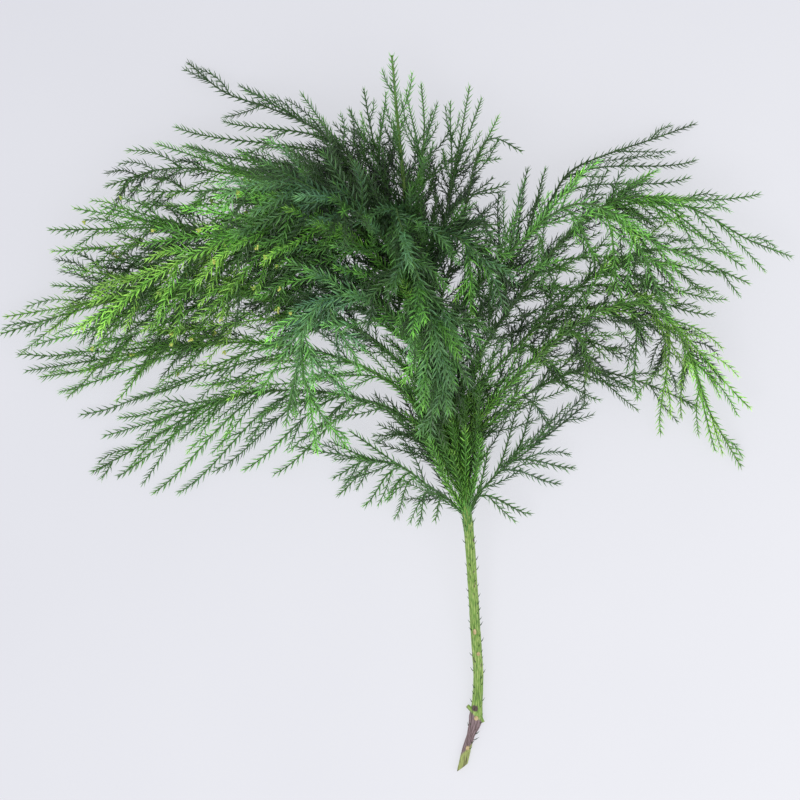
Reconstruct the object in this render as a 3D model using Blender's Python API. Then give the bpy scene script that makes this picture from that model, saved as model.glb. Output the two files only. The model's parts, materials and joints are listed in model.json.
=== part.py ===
"""Cut cryptomeria branch, laid down: a bare stem, its leader, and leafy limbs, each limb one closed solid.

Places are read in millimetres on the sheet that the branch lies on: right and down from a corner of the
sheet, then up from it. The cut end points down the sheet, and the tips of the crown up the sheet.
"""
from dataclasses import dataclass
import math

import bmesh
import bpy
from mathutils import Matrix
from mathutils.kdtree import KDTree
import numpy as np

MM = 0.001
MIDDLE_RIGHT = 395.6
MIDDLE_DOWN = 415.3

BARK_COLOUR = (0.20, 0.30, 0.06)
BARK_ROUGHNESS = 0.55
NEEDLE_COLOUR = (0.09, 0.20, 0.035)
NEEDLE_ROUGHNESS = 0.6

# Bare stem, from the cut end to the first fork, as (right, down, up, radius).
STEM = (
    (461, 776, 4.1, 4.5), (466, 752, 4.4, 4.3), (471, 736, 4.8, 4.0), (475, 724, 6.0, 6.2),
    (476, 716, 6.6, 6.8), (477, 706, 7.8, 5.4), (478, 690, 10.5, 5.0), (478, 668, 14, 4.9),
    (476, 640, 19, 5.0), (474, 610, 25, 4.9), (472, 580, 31, 4.8), (470, 550, 38, 4.8),
    (467.2, 521, 44.8, 4.8),
)
STEM_RESOLUTION = 2

# Stubs of old side shoots on the knob, as two ends and a radius.
STEM_STUBS = (
    ((476, 717, 7.5), (486, 722, 9.0), 2.6),
    ((475, 716, 7.5), (465, 708, 10.0), 1.9),
)
STUB_TAPER = 0.85
STUB_RESOLUTION = 1

# The slanted cut: a place on it, its turn from straight across the sheet, and the cutter's side in metres.
CUT = (464, 767, 5)
CUT_SLANT = math.radians(37)
CUTTER_SIDE = 0.04

# Leafy leader, above the first fork, as (right, down, up, radius to the needle tips).
LEADER = (
    (466.7, 518, 45.5, 4.9), (463, 490, 51.6, 5.4), (458, 460, 58, 5.8), (453, 430, 64, 5.8), (447, 400, 70, 5.8),
    (440, 365, 74, 5.8), (431, 330, 78, 5.7), (421, 290, 81, 5.6), (412, 250, 82, 5.6),
    (406, 210, 80, 6.0), (402, 170, 76, 6.4), (398, 130, 70, 6.6), (395, 95, 63, 6.0),
    (392, 60, 55, 1.6),
)
LEADER_STEP = 6.0
LEADER_RESOLUTION = 1
LIMB_RESOLUTION = 0

# Each limb: the route of its axis, then the tips of its side shoots after the share of the axis
# at which each one leaves it.
LIMBS = {
    "lower_left_limb": (
        (
            (460, 511, 44), (448, 499, 40), (425, 484, 31), (396, 464, 22), (352, 457, 12), (296, 447, 3),
        ),
        (
            (0.14, 435, 520, 26), (0.22, 418, 525, 12), (0.32, 395, 518, 3), (0.42, 364, 506, 3),
            (0.36, 386, 500, 14), (0.55, 338, 495, 2), (0.60, 333, 478, 9), (0.40, 350, 431, 18),
            (0.58, 329, 441, 14),
        ),
    ),
    "lower_right_limb": (
        (
            (470, 507, 46), (482, 491, 41), (503, 469, 34), (530, 449, 26), (560, 425, 14), (588, 403, 4),
        ),
        (
            (0.08, 531, 514, 14), (0.30, 560, 484, 3), (0.40, 575, 468, 3), (0.50, 586, 394, 16),
            (0.24, 519, 402, 36), (0.36, 545, 374, 26),
        ),
    ),
    "left_limb_1": (
        (
            (460, 466, 54), (440, 438, 52), (400, 409, 47), (350, 395, 39), (300, 389, 31), (250, 393, 23),
            (205, 407, 16), (150, 440, 9), (92, 472, 2),
        ),
        (
            (0.50, 119, 417, 12), (0.56, 104, 436, 6), (0.62, 117, 477, 2), (0.52, 153, 493, 2),
            (0.44, 178, 493, 3), (0.38, 213, 472, 5), (0.33, 243, 470, 4), (0.26, 274, 474, 5),
            (0.30, 302, 440, 16),
        ),
    ),
    "left_limb_2": (
        (
            (457, 452, 60), (430, 414, 62), (385, 376, 61), (330, 354, 55), (270, 343, 47), (210, 344, 38),
            (150, 352, 28), (95, 368, 15), (40, 377, 4),
        ),
        (
            (0.45, 134, 398, 12), (0.38, 80, 415, 4), (0.60, 59, 392, 4), (0.70, 26, 371, 9),
            (0.56, 19, 354, 18), (0.30, 196, 386, 22), (0.22, 262, 385, 30), (0.40, 150, 330, 34),
        ),
    ),
    "left_limb_3": (
        (
            (453, 428, 68), (420, 384, 74), (370, 338, 78), (310, 309, 76), (250, 296, 69), (190, 292, 60),
            (130, 299, 48), (70, 314, 32), (1, 334, 13),
        ),
        (
            (0.68, 6, 317, 20), (0.46, 55, 286, 36), (0.36, 66, 268, 46), (0.56, 36, 348, 18),
            (0.48, 90, 350, 26), (0.30, 160, 330, 48), (0.24, 205, 262, 66),
        ),
    ),
    "left_limb_4": (
        (
            (447, 402, 72), (420, 348, 82), (380, 298, 88), (330, 264, 88), (275, 244, 82), (215, 234, 73),
            (160, 230, 61), (105, 231, 48), (52, 231, 34),
        ),
        (
            (0.66, 77, 210, 38), (0.72, 104, 208, 42), (0.56, 54, 252, 30), (0.46, 100, 262, 44),
            (0.36, 125, 210, 64), (0.30, 200, 205, 78), (0.24, 240, 276, 78),
        ),
    ),
    "left_limb_5": (
        (
            (441, 372, 78), (418, 307, 88), (385, 252, 94), (340, 214, 92), (290, 191, 84), (230, 177, 72),
            (170, 172, 58), (109, 188, 42),
        ),
        (
            (0.58, 160, 147, 56), (0.50, 135, 192, 50), (0.44, 146, 206, 54), (0.38, 203, 160, 66),
            (0.28, 250, 222, 80), (0.30, 245, 160, 74),
        ),
    ),
    "left_limb_6": (
        (
            (433, 338, 78), (412, 272, 78), (385, 213, 73), (355, 166, 63), (315, 131, 51), (270, 110, 38),
            (225, 93, 19), (188, 62, 1.6),
        ),
        (
            (0.45, 176, 127, 14), (0.38, 189, 146, 22), (0.55, 224, 122, 20), (0.32, 222, 160, 38),
            (0.34, 303, 97, 38), (0.62, 240, 86, 16), (0.26, 262, 163, 52),
        ),
    ),
    "back_left_limb": (
        (
            (459, 470, 56), (445, 455, 52), (421, 438, 45), (396, 419, 36), (375, 394, 26),
        ),
        (
            (0.50, 373, 436, 24), (0.36, 400, 392, 38),
        ),
    ),
    "centre_left_limb": (
        (
            (420, 288, 78), (402, 232, 73), (385, 181, 62), (372, 135, 49), (364, 91, 34),
        ),
        (
            (0.55, 350, 112, 34), (0.40, 330, 150, 46), (0.62, 386, 94, 34), (0.34, 340, 190, 56),
        ),
    ),
    "centre_right_limb_1": (
        (
            (414, 262, 82), (416, 216, 79), (421, 166, 70), (424, 130, 60), (421, 87, 46),
        ),
        (
            (0.50, 406, 93, 50), (0.58, 437, 106, 46), (0.36, 446, 160, 62),
        ),
    ),
    "centre_right_limb_2": (
        (
            (425, 304, 76), (437, 252, 73), (448, 200, 67), (458, 150, 57), (469, 89, 40),
        ),
        (
            (0.55, 481, 101, 40), (0.50, 450, 104, 42), (0.38, 492, 180, 52),
        ),
    ),
    "centre_right_limb_3": (
        (
            (431, 326, 82), (448, 272, 86), (463, 216, 88), (474, 166, 84), (490, 143, 77), (520, 155, 62),
        ),
        (
            (0.68, 497, 120, 64), (0.54, 506, 186, 62), (0.42, 500, 226, 66), (0.70, 498, 162, 62),
        ),
    ),
    "right_limb_1": (
        (
            (441, 374, 70), (465, 332, 66), (495, 286, 58), (525, 241, 49), (548, 204, 41), (568, 174, 34),
            (605, 156, 27), (650, 140, 13), (696, 123, 1.6),
        ),
        (
            (0.60, 696, 160, 4), (0.54, 690, 177, 3), (0.32, 527, 170, 36), (0.40, 545, 170, 34),
            (0.26, 498, 196, 46), (0.42, 602, 198, 30), (0.24, 566, 250, 40),
        ),
    ),
    "right_limb_2": (
        (
            (448, 401, 76), (480, 348, 82), (520, 292, 89), (560, 242, 92), (605, 207, 87), (650, 201, 76),
            (700, 217, 60), (745, 241, 42), (790, 257, 22),
        ),
        (
            (0.50, 756, 196, 42), (0.54, 716, 210, 54), (0.58, 717, 246, 42), (0.62, 743, 268, 32),
            (0.40, 648, 176, 74), (0.34, 640, 256, 74), (0.28, 600, 292, 72),
        ),
    ),
    "right_limb_3": (
        (
            (452, 422, 68), (490, 375, 71), (535, 328, 74), (580, 288, 76), (625, 258, 71), (665, 252, 62),
            (705, 265, 48), (747, 284, 30),
        ),
        (
            (0.60, 725, 273, 38), (0.52, 724, 300, 34), (0.48, 711, 315, 36), (0.40, 668, 330, 46),
            (0.32, 618, 350, 54), (0.26, 560, 372, 58),
        ),
    ),
    "right_limb_4": (
        (
            (455, 440, 64), (500, 388, 79), (550, 342, 93), (600, 309, 98), (645, 308, 88), (675, 336, 72),
            (692, 372, 54), (708, 412, 32), (742, 467, 1.6),
        ),
        (
            (0.55, 749, 408, 24), (0.58, 661, 434, 8), (0.68, 716, 451, 4), (0.48, 636, 398, 48),
            (0.42, 700, 338, 64), (0.34, 596, 372, 66),
        ),
    ),
    "right_limb_5": (
        (
            (458, 456, 56), (495, 419, 50), (540, 387, 41), (585, 371, 30), (640, 382, 16), (700, 407, 2),
        ),
        (
            (0.42, 599, 400, 14), (0.50, 624, 388, 14), (0.58, 637, 390, 10), (0.30, 552, 428, 22),
            (0.34, 592, 340, 38), (0.24, 524, 350, 54),
        ),
    ),
    "back_right_limb": (
        (
            (463, 480, 50), (476, 440, 56), (490, 400, 60), (505, 360, 61), (522, 322, 56),
        ),
        (
            (0.36, 528, 402, 44), (0.55, 552, 340, 44), (0.45, 476, 350, 64),
        ),
    ),
    "front_left_limb_1": (
        (
            (437, 354, 88), (405, 294, 112), (360, 248, 132), (300, 231, 138), (240, 243, 131),
            (180, 270, 114), (130, 301, 93), (80, 332, 70),
        ),
        (
            (0.32, 262, 300, 116), (0.42, 200, 322, 98), (0.52, 148, 332, 82), (0.60, 100, 298, 84),
            (0.28, 252, 190, 124), (0.38, 190, 214, 114), (0.48, 150, 248, 102),
        ),
    ),
    "front_left_limb_2": (
        (
            (444, 388, 84), (415, 342, 114), (375, 307, 139), (335, 302, 146), (310, 326, 134),
            (305, 366, 113), (318, 406, 88), (347, 446, 58),
        ),
        (
            (0.42, 268, 350, 108), (0.50, 262, 392, 86), (0.60, 288, 424, 72), (0.62, 350, 398, 94),
            (0.46, 360, 372, 118), (0.34, 290, 265, 136),
        ),
    ),
    "front_left_limb_3": (
        (
            (426, 312, 92), (395, 258, 122), (358, 219, 148), (312, 198, 162), (268, 194, 162),
            (225, 205, 150),
        ),
        (
            (0.50, 346, 222, 192), (0.55, 238, 240, 142), (0.40, 326, 162, 146), (0.58, 272, 176, 203),
        ),
    ),
    "front_centre_limb_1": (
        (
            (410, 240, 92), (400, 218, 120), (398, 222, 148), (411, 262, 166), (428, 315, 164),
            (442, 366, 148), (448, 414, 122),
        ),
        (
            (0.50, 478, 346, 142), (0.58, 466, 384, 128), (0.62, 420, 412, 118), (0.50, 412, 336, 204),
            (0.70, 430, 436, 98), (0.40, 368, 306, 152),
        ),
    ),
    "front_centre_limb_2": (
        (
            (422, 294, 92), (426, 258, 118), (441, 240, 141), (466, 252, 150), (488, 280, 143),
            (502, 314, 126),
        ),
        (
            (0.50, 506, 262, 132), (0.55, 470, 318, 134), (0.35, 470, 212, 134),
        ),
    ),
    "front_right_limb": (
        (
            (434, 344, 90), (470, 294, 112), (515, 248, 131), (560, 214, 138), (600, 217, 130),
            (630, 250, 112), (650, 290, 90), (665, 322, 68),
        ),
        (
            (0.50, 590, 262, 116), (0.60, 616, 302, 98), (0.66, 688, 268, 96), (0.38, 576, 180, 130),
            (0.30, 520, 190, 124), (0.40, 540, 290, 116),
        ),
    ),
}

# Evenly spaced points along a strand, and along the curves that they are read from, in millimetres.
SAMPLE_STEP = 8.0
ROUTE_POINTS = 12
CURVE_POINTS = 24
CURVE_SLACK = 1.04

# A side shoot's curve: how far it leans from its limb's direction to its own at either end, and how far
# its two handles reach, as shares of its span.
LEAVE_LEAN = 0.9
LEAVE_REACH = 0.34
ARRIVE_LEAN = 0.35
ARRIVE_REACH = 0.30

# Distance from an axis to its needles' tips: full, at the tip and at the base, and how fast it opens.
LIMB_REACH = 7.6
SHOOT_REACH = 8.2
TIP_REACH = 1.8
BASE_REACH = 2.4
SHOOT_BASE_SHARE = 0.6
LIMB_RISE = 150.0
LIMB_RISE_SHARE = 0.6
SHOOT_RISE_SHARE = 0.35
TIP_LENGTH = 20.0
REACH_POINTS = 60

# Room that is kept free: between solids, and between a strand and the leader's needles.
GAP = 0.35
LEADER_ROOM = 3.4
CLEAR_SHARE = 0.6
CLEAR_START = 2.0
AWAY_POINT = 4
REST_SHARE = 0.7

# How strands of different limbs are pushed apart: mostly up and down, so the outline stays.
SPREAD_ROUNDS = 70
SPREAD_GAP = 1.0
PAIR_DISTANCE = 24.0
PAIR_ROUNDS = 10
SMOOTH_ROUNDS = 3
SPREAD_SHARE = np.array((0.22, 0.22, 0.60))

# Rings of the solids, and how they are thinned where strands of different limbs come close.
AXIS_RING_STEP = 56.0
FEWEST_AXIS_RINGS = 4
SHOOT_RING_STEP = 52.0
FIRST_RING_SHARE = 0.4
TIP_RING = 15.0
MOST_TIP_SHARE = 0.4
CHECK_STEP = 3.0
NEAR = 18.0
THIN_ROUNDS = 60
LEAST_FACTOR = 0.5
LEAST_REACH = 1.1
SETTLED = 0.999


@dataclass
class Strand:
    """Axis of a limb or of one side shoot, in millimetres from the middle of the sheet.

    A limb's axis has parent -1 and the station at which it leaves the leader; a side shoot has the
    index of its limb's axis and the share of that axis at which it leaves it.
    """

    limb: int
    points: np.ndarray
    parent: int
    share: float
    station: int = 0


def place(spot):
    """Turns a place on the sheet into millimetres from its middle, with up last."""
    right, down, up = spot[:3]
    return np.array((right - MIDDLE_RIGHT, MIDDLE_DOWN - down, up), dtype=float)


def unit(vector):
    """Returns the vector at length one."""
    return vector / max(np.linalg.norm(vector), 1e-9)


def run_length(points):
    """Returns the length along a row of points."""
    return np.linalg.norm(np.diff(points, axis=0), axis=1).sum()


def resample(points, count):
    """Returns evenly spaced points along a row of points."""
    steps = np.linalg.norm(np.diff(points, axis=0), axis=1)
    along = np.concatenate(((0.0,), np.cumsum(steps)))
    wanted = np.linspace(0.0, along[-1], count)
    return np.stack([np.interp(wanted, along, points[:, k]) for k in range(3)], axis=1)


def smooth_route(points, step=SAMPLE_STEP):
    """Runs a Catmull-Rom curve through the points and spaces it evenly."""
    padded = np.vstack((2 * points[0] - points[1], points, 2 * points[-1] - points[-2]))
    share = np.linspace(0.0, 1.0, ROUTE_POINTS, endpoint=False)[:, None]
    pieces = []
    for before, start, end, after in zip(padded, padded[1:], padded[2:], padded[3:]):
        pieces.append(0.5 * (2 * start + (end - before) * share
                             + (2 * before - 5 * start + 4 * end - after) * share ** 2
                             + (3 * start - before - 3 * end + after) * share ** 3))
    curve = np.vstack(pieces + [points[-1:]])
    return resample(curve, max(4, round(run_length(curve) / step) + 1))


def at_share(points, share):
    """Returns the point and the direction at a share of an evenly spaced row of points."""
    where = share * (len(points) - 1)
    low = min(int(where), len(points) - 2)
    point = points[low] + (points[low + 1] - points[low]) * (where - low)
    return point, unit(points[low + 1] - points[low])


def shoot_route(axis, share, tip):
    """Bends a side shoot out of the axis and forward to its tip."""
    start, forward = at_share(axis, share)
    span = np.linalg.norm(tip - start)
    outward = unit(tip - start)
    leave = start + unit(forward + LEAVE_LEAN * outward) * LEAVE_REACH * span
    arrive = tip - unit(outward + ARRIVE_LEAN * forward) * ARRIVE_REACH * span
    t = np.linspace(0.0, 1.0, CURVE_POINTS)[:, None]
    curve = ((1 - t) ** 3 * start + 3 * (1 - t) ** 2 * t * leave
             + 3 * (1 - t) * t ** 2 * arrive + t ** 3 * tip)
    return resample(curve, max(4, round(CURVE_SLACK * span / SAMPLE_STEP) + 1))


def lay_out_strands(leader):
    """Makes the strands of all limbs as they were read, before they are spread."""
    strands = []
    for number, (route, tips) in enumerate(LIMBS.values()):
        axis = smooth_route(np.array([place(spot) for spot in route]))
        station = int(np.argmin(np.linalg.norm(leader - axis[0], axis=1)))
        parent = len(strands)
        strands.append(Strand(number, axis, -1, 0.0, station))
        for share, *tip in tips:
            strands.append(Strand(number, shoot_route(axis, share, place(tip)), parent, share))
    return strands


def nominal_reach(strand, count=None):
    """Returns the needle envelope at evenly spaced places along a strand that has no neighbours."""
    t = np.linspace(0.0, 1.0, count or len(strand.points))
    length = run_length(strand.points)
    if strand.parent < 0:
        full, base, rise = LIMB_REACH, BASE_REACH, min(LIMB_RISE, LIMB_RISE_SHARE * length)
    else:
        full, base, rise = SHOOT_REACH, SHOOT_BASE_SHARE * SHOOT_REACH, SHOOT_RISE_SHARE * length
    open_out = base + (full - base) * np.clip(t * length / rise, 0.0, 1.0)
    close_up = TIP_REACH + (full - TIP_REACH) * np.clip((1.0 - t) * length / TIP_LENGTH, 0.0, 1.0)
    return np.minimum(open_out, close_up)


def join_bases(strands, leader, leader_reach):
    """Sets every limb on the side of the leader that it leaves to, and every side shoot on its limb."""
    for strand in strands:
        if strand.parent < 0:
            core = leader[strand.station]
            along = unit(leader[min(strand.station + 1, len(leader) - 1)]
                         - leader[max(strand.station - 1, 0)])
            aside = strand.points[AWAY_POINT] - core
            aside = unit(aside - along * np.dot(aside, along))
            target = core + aside * (leader_reach[strand.station] + BASE_REACH + GAP)
        else:
            target = at_share(strands[strand.parent].points, strand.share)[0]
        fade = (1.0 - np.linspace(0.0, 1.0, len(strand.points)))[:, None] ** 2
        strand.points += (target - strand.points[0]) * fade


def clear_leader(strands, leader, leader_reach):
    """Moves points that lie in the leader's needles out to the side, with room for their own."""
    for strand in strands:
        apart = strand.points[:, None, :] - leader[None, :, :]
        distance = np.linalg.norm(apart, axis=2)
        nearest = distance.argmin(axis=1)
        row = np.arange(len(strand.points))
        away = distance[row, nearest]
        lack = np.clip(leader_reach[nearest] + LEADER_ROOM - away, 0.0, None)
        if strand.parent < 0:
            lack *= np.clip(row / CLEAR_START, 0.0, 1.0)
        strand.points += apart[row, nearest] / (away[:, None] + 1e-6) * lack[:, None] * CLEAR_SHARE


def near_pairs(cloud, owner):
    """Returns the index pairs of close points of different owners."""
    tree = KDTree(len(cloud))
    for index, point in enumerate(cloud):
        tree.insert(point, index)
    tree.balance()
    pairs = [(index, other) for index, point in enumerate(cloud)
             for _, other, _ in tree.find_range(point, PAIR_DISTANCE)
             if other > index and owner[other] != owner[index]]
    return np.array(pairs).T


def smoothed(moves):
    """Evens out the moves of neighbouring points along one strand."""
    for _ in range(SMOOTH_ROUNDS):
        padded = np.vstack((moves[:1], moves, moves[-1:]))
        moves = 0.25 * padded[:-2] + 0.5 * padded[1:-1] + 0.25 * padded[2:]
    return moves


def spread(strands, leader, leader_reach):
    """Pushes strands of different limbs apart until their needles have room."""
    owner = np.concatenate([np.full(len(leader), -1)]
                           + [np.full(len(strand.points), strand.limb) for strand in strands])
    room = np.concatenate([leader_reach] + [nominal_reach(strand) for strand in strands])
    join_bases(strands, leader, leader_reach)
    for turn in range(SPREAD_ROUNDS):
        cloud = np.vstack([leader] + [strand.points for strand in strands])
        if turn % PAIR_ROUNDS == 0:
            one, two = near_pairs(cloud, owner)
        apart = cloud[one] - cloud[two]
        distance = np.linalg.norm(apart, axis=1) + 1e-6
        lack = np.clip(room[one] + room[two] + SPREAD_GAP - distance, 0.0, None)
        part = apart / distance[:, None] * lack[:, None]
        push = np.zeros_like(cloud)
        crowd = np.zeros(len(cloud))
        np.add.at(push, one, part)
        np.add.at(push, two, -part)
        np.add.at(crowd, one, lack > 0)
        np.add.at(crowd, two, lack > 0)
        push /= np.maximum(crowd, 1.0)[:, None]
        first = len(leader)
        for strand in strands:
            count = len(strand.points)
            strand.points = strand.points + smoothed(push[first:first + count] * SPREAD_SHARE)
            first += count
        clear_leader(strands, leader, leader_reach)
        join_bases(strands, leader, leader_reach)
        first = len(leader)
        for strand in strands:
            rest = REST_SHARE * room[first:first + len(strand.points)]
            strand.points[:, 2] = np.maximum(strand.points[:, 2], rest)
            first += len(strand.points)


def ring_places(strand):
    """Returns the few places along a strand at which its solid has a ring, closer at the tip."""
    length = run_length(strand.points)
    tip = min(MOST_TIP_SHARE, TIP_RING / length)
    if strand.parent < 0:
        body = max(FEWEST_AXIS_RINGS, round(length / AXIS_RING_STEP))
    else:
        body = max(1, round(length / SHOOT_RING_STEP))
    places = np.append(np.linspace(0.0, 1.0 - tip, body + 1), 1.0)
    if strand.parent < 0:
        places = np.insert(places, 1, FIRST_RING_SHARE * places[1])
    return places


def at_places(points, places):
    """Reads evenly spaced points at the given shares of their row."""
    own = np.linspace(0.0, 1.0, len(points))
    return np.stack([np.interp(places, own, points[:, k]) for k in range(points.shape[1])], axis=1)


def dense_row(rings):
    """Returns points and ring positions every few millimetres along the chords between rings."""
    chords = np.linalg.norm(np.diff(rings, axis=0), axis=1)
    counts = np.maximum(1, np.ceil(chords / CHECK_STEP)).astype(int)
    where = np.concatenate([k + np.arange(n) / n for k, n in enumerate(counts)] + [[len(rings) - 1.0]])
    own = np.arange(len(rings))
    points = np.stack([np.interp(where, own, rings[:, k]) for k in range(3)], axis=1)
    return points, where


def close_places(one_row, other_row):
    """Returns where two rows of points come near: the indices in each, and the distances."""
    apart = np.linalg.norm(one_row[:, None] - other_row[None], axis=2)
    one, two = np.nonzero(apart < NEAR)
    return one, two, apart[one, two]


def boxes_near(one_row, other_row):
    """Tells whether the boxes around two rows of points are near each other."""
    return not (np.any(one_row.min(axis=0) - other_row.max(axis=0) > NEAR)
                or np.any(other_row.min(axis=0) - one_row.max(axis=0) > NEAR))


def thin(rows, owners, fixed_rows):
    """Thins the solids where strands of different limbs come close, so that no two of them meet.

    Every row is (rings, reaches); the reaches are changed in place. Fixed rows keep theirs.
    """
    dense = [dense_row(rings) for rings, _ in rows]
    fixed = [dense_row(rings) for rings, _ in fixed_rows]
    pairs = [(a, b, *close_places(dense[a][0], dense[b][0]))
             for a in range(len(rows)) for b in range(a + 1, len(rows))
             if owners[a] != owners[b] and boxes_near(dense[a][0], dense[b][0])]
    held = [(a, b, *close_places(points, core))
            for a, (points, _) in enumerate(dense) for b, (core, _) in enumerate(fixed)]
    core_reach = [np.interp(where, np.arange(len(row[1])), row[1])
                  for row, (_, where) in zip(fixed_rows, fixed)]
    for _ in range(THIN_ROUNDS):
        factors = [np.ones(len(points)) for points, _ in dense]
        reach = [np.interp(where, np.arange(len(row[1])), row[1])
                 for row, (_, where) in zip(rows, dense)]
        for a, b, one, two, apart in pairs:
            room = (apart - GAP) / (reach[a][one] + reach[b][two])
            np.minimum.at(factors[a], one, room)
            np.minimum.at(factors[b], two, room)
        for a, b, one, two, apart in held:
            np.minimum.at(factors[a], one, (apart - GAP - core_reach[b][two]) / reach[a][one])
        worst = 1.0
        for (rings, reaches), (_, where), factor in zip(rows, dense, factors):
            low = np.minimum(where.astype(int), len(rings) - 2)
            share = np.ones(len(rings))
            np.minimum.at(share, low, factor)
            np.minimum.at(share, low + 1, factor)
            reaches *= np.clip(share, LEAST_FACTOR, 1.0)
            np.maximum(reaches, LEAST_REACH, out=reaches)
            worst = min(worst, share.min())
        if worst > SETTLED:
            break


def tube(name, rings, reaches, resolution, collection):
    """Makes one closed tube along the rings; it rests flat where it would go below the sheet."""
    curve = bpy.data.curves.new(name, "CURVE")
    curve.dimensions = "3D"
    curve.bevel_depth = 1.0
    curve.bevel_resolution = resolution
    curve.use_fill_caps = True
    curve.resolution_u = 1
    curve.render_resolution_u = 0
    spline = curve.splines.new("POLY")
    spline.points.add(len(rings) - 1)
    for point, ring, reach in zip(spline.points, rings, reaches):
        point.co = (*(ring * MM), 1.0)
        point.radius = reach * MM
    draft = bpy.data.objects.new(name + "_curve", curve)
    collection.objects.link(draft)
    mesh = bpy.data.meshes.new_from_object(draft)
    mesh.name = name
    bpy.data.objects.remove(draft)
    bpy.data.curves.remove(curve)
    shell = bmesh.new()
    shell.from_mesh(mesh)
    bmesh.ops.remove_doubles(shell, verts=shell.verts, dist=0.01 * MM)
    for vert in shell.verts:
        vert.co.z = max(vert.co.z, 0.0)
    bmesh.ops.recalc_face_normals(shell, faces=shell.faces)
    shell.to_mesh(mesh)
    shell.free()
    solid = bpy.data.objects.new(name, mesh)
    collection.objects.link(solid)
    return solid


def hide_helper(helper):
    """Keeps a helper of a Boolean out of the picture."""
    helper.hide_render = True
    helper.hide_viewport = True


def add_boolean(solid, name, operation, helper=None, helpers=None):
    """Adds one exact Boolean with an object or with every object of a collection."""
    modifier = solid.modifiers.new(name, "BOOLEAN")
    modifier.operation = operation
    modifier.solver = "EXACT"
    if helpers is None:
        modifier.object = helper
    else:
        modifier.operand_type = "COLLECTION"
        modifier.collection = helpers


def new_material(name, colour, roughness):
    """Makes a plain material."""
    material = bpy.data.materials.new(name)
    material.use_nodes = True
    shader = material.node_tree.nodes["Principled BSDF"]
    shader.inputs["Base Color"].default_value = (*colour, 1.0)
    shader.inputs["Roughness"].default_value = roughness
    material.diffuse_color = (*colour, 1.0)
    return material


def rings_of(spots):
    """Splits places with a radius into their rings and their reaches."""
    return np.array([place(spot) for spot in spots]), np.array([spot[3] for spot in spots], dtype=float)


def build_cutter(helpers):
    """Makes the block that cuts the stem's lower end on a slant."""
    block = bmesh.new()
    bmesh.ops.create_cube(block, size=CUTTER_SIDE)
    bmesh.ops.translate(block, verts=block.verts, vec=(0.0, -0.5 * CUTTER_SIDE, 0.0))
    bmesh.ops.rotate(block, verts=block.verts, matrix=Matrix.Rotation(CUT_SLANT, 3, "Z"))
    bmesh.ops.translate(block, verts=block.verts, vec=place(CUT) * MM)
    mesh = bpy.data.meshes.new("cutter")
    block.to_mesh(mesh)
    block.free()
    cutter = bpy.data.objects.new("cutter", mesh)
    helpers.objects.link(cutter)
    hide_helper(cutter)
    return cutter


def build_stem(branch, helpers):
    """Makes the bare stem with its knob and stubs, and cuts its lower end."""
    rings, reaches = rings_of(STEM)
    stem = tube("stem", rings, reaches, STEM_RESOLUTION, branch)
    for number, (start, end, radius) in enumerate(STEM_STUBS, 1):
        stub = tube(f"stub_{number}", np.array([place(start), place(end)]),
                    np.array((radius, STUB_TAPER * radius)), STUB_RESOLUTION, helpers)
        hide_helper(stub)
        add_boolean(stem, f"stub_{number}", "UNION", helper=stub)
    add_boolean(stem, "slanted_cut", "DIFFERENCE", helper=build_cutter(helpers))
    return stem


def build_limb(name, number, strands, rows, branch, helpers):
    """Makes the solids of a limb's axis and side shoots; returns the axis and its shoots."""
    axis = None
    shoots = bpy.data.collections.new(name + "_shoots")
    helpers.children.link(shoots)
    for strand, (rings, reaches) in zip(strands, rows):
        if strand.limb != number:
            continue
        if strand.parent < 0:
            axis = tube(name, rings, reaches, LIMB_RESOLUTION, branch)
        else:
            shoot_name = f"{name}_shoot_{len(shoots.objects) + 1}"
            hide_helper(tube(shoot_name, rings, reaches, LIMB_RESOLUTION, shoots))
    return axis, shoots


def solid_rows(strands):
    """Returns the rings and the reaches of every strand's solid before they are thinned."""
    fine = np.linspace(0.0, 1.0, REACH_POINTS)
    rows = []
    for strand in strands:
        places = ring_places(strand)
        reaches = np.interp(places, fine, nominal_reach(strand, REACH_POINTS))
        rows.append((at_places(strand.points, places), reaches))
    return rows


def main():
    """Builds the branch: the stem, the leader, and each limb joined with its side shoots."""
    for item in list(bpy.data.objects):
        bpy.data.objects.remove(item)
    branch = bpy.data.collections.new("cryptomeria_branch")
    helpers = bpy.data.collections.new("helpers")
    bpy.context.scene.collection.children.link(branch)
    bpy.context.scene.collection.children.link(helpers)

    leader, leader_reach = rings_of(LEADER)
    core = smooth_route(leader, LEADER_STEP)
    core_reach = np.interp(np.linspace(0, 1, len(core)), np.linspace(0, 1, len(leader)), leader_reach)
    strands = lay_out_strands(core)
    spread(strands, core, core_reach)
    rows = solid_rows(strands)
    thin(rows, [strand.limb for strand in strands], [(leader, leader_reach), rings_of(STEM)])

    bark = new_material("bark", BARK_COLOUR, BARK_ROUGHNESS)
    needles = new_material("needles", NEEDLE_COLOUR, NEEDLE_ROUGHNESS)
    stem = build_stem(branch, helpers)
    stem.data.materials.append(bark)
    top = tube("leader", leader, leader_reach, LEADER_RESOLUTION, branch)
    top.data.materials.append(needles)
    limbs = [build_limb(name, number, strands, rows, branch, helpers)
             for number, name in enumerate(LIMBS)]
    for limb, shoots in limbs:
        limb.data.materials.append(needles)
        add_boolean(limb, "shoots", "UNION", helpers=shoots)


main()
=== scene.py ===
"""Cryptomeria branch on a pale sheet: bark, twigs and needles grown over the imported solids.

Places are read in millimetres on the sheet that the branch lies on, as in the part's source: right and
down from a corner of the sheet, then up from it. They become metres in the row's frame when a mesh is made.
"""
from __future__ import annotations

import json
import logging
import math
from dataclasses import dataclass, field
from enum import Enum, IntEnum
from typing import Iterable

import bmesh
import bpy
import numpy as np
from mathutils import Matrix, Vector
from mathutils.kdtree import KDTree

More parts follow.
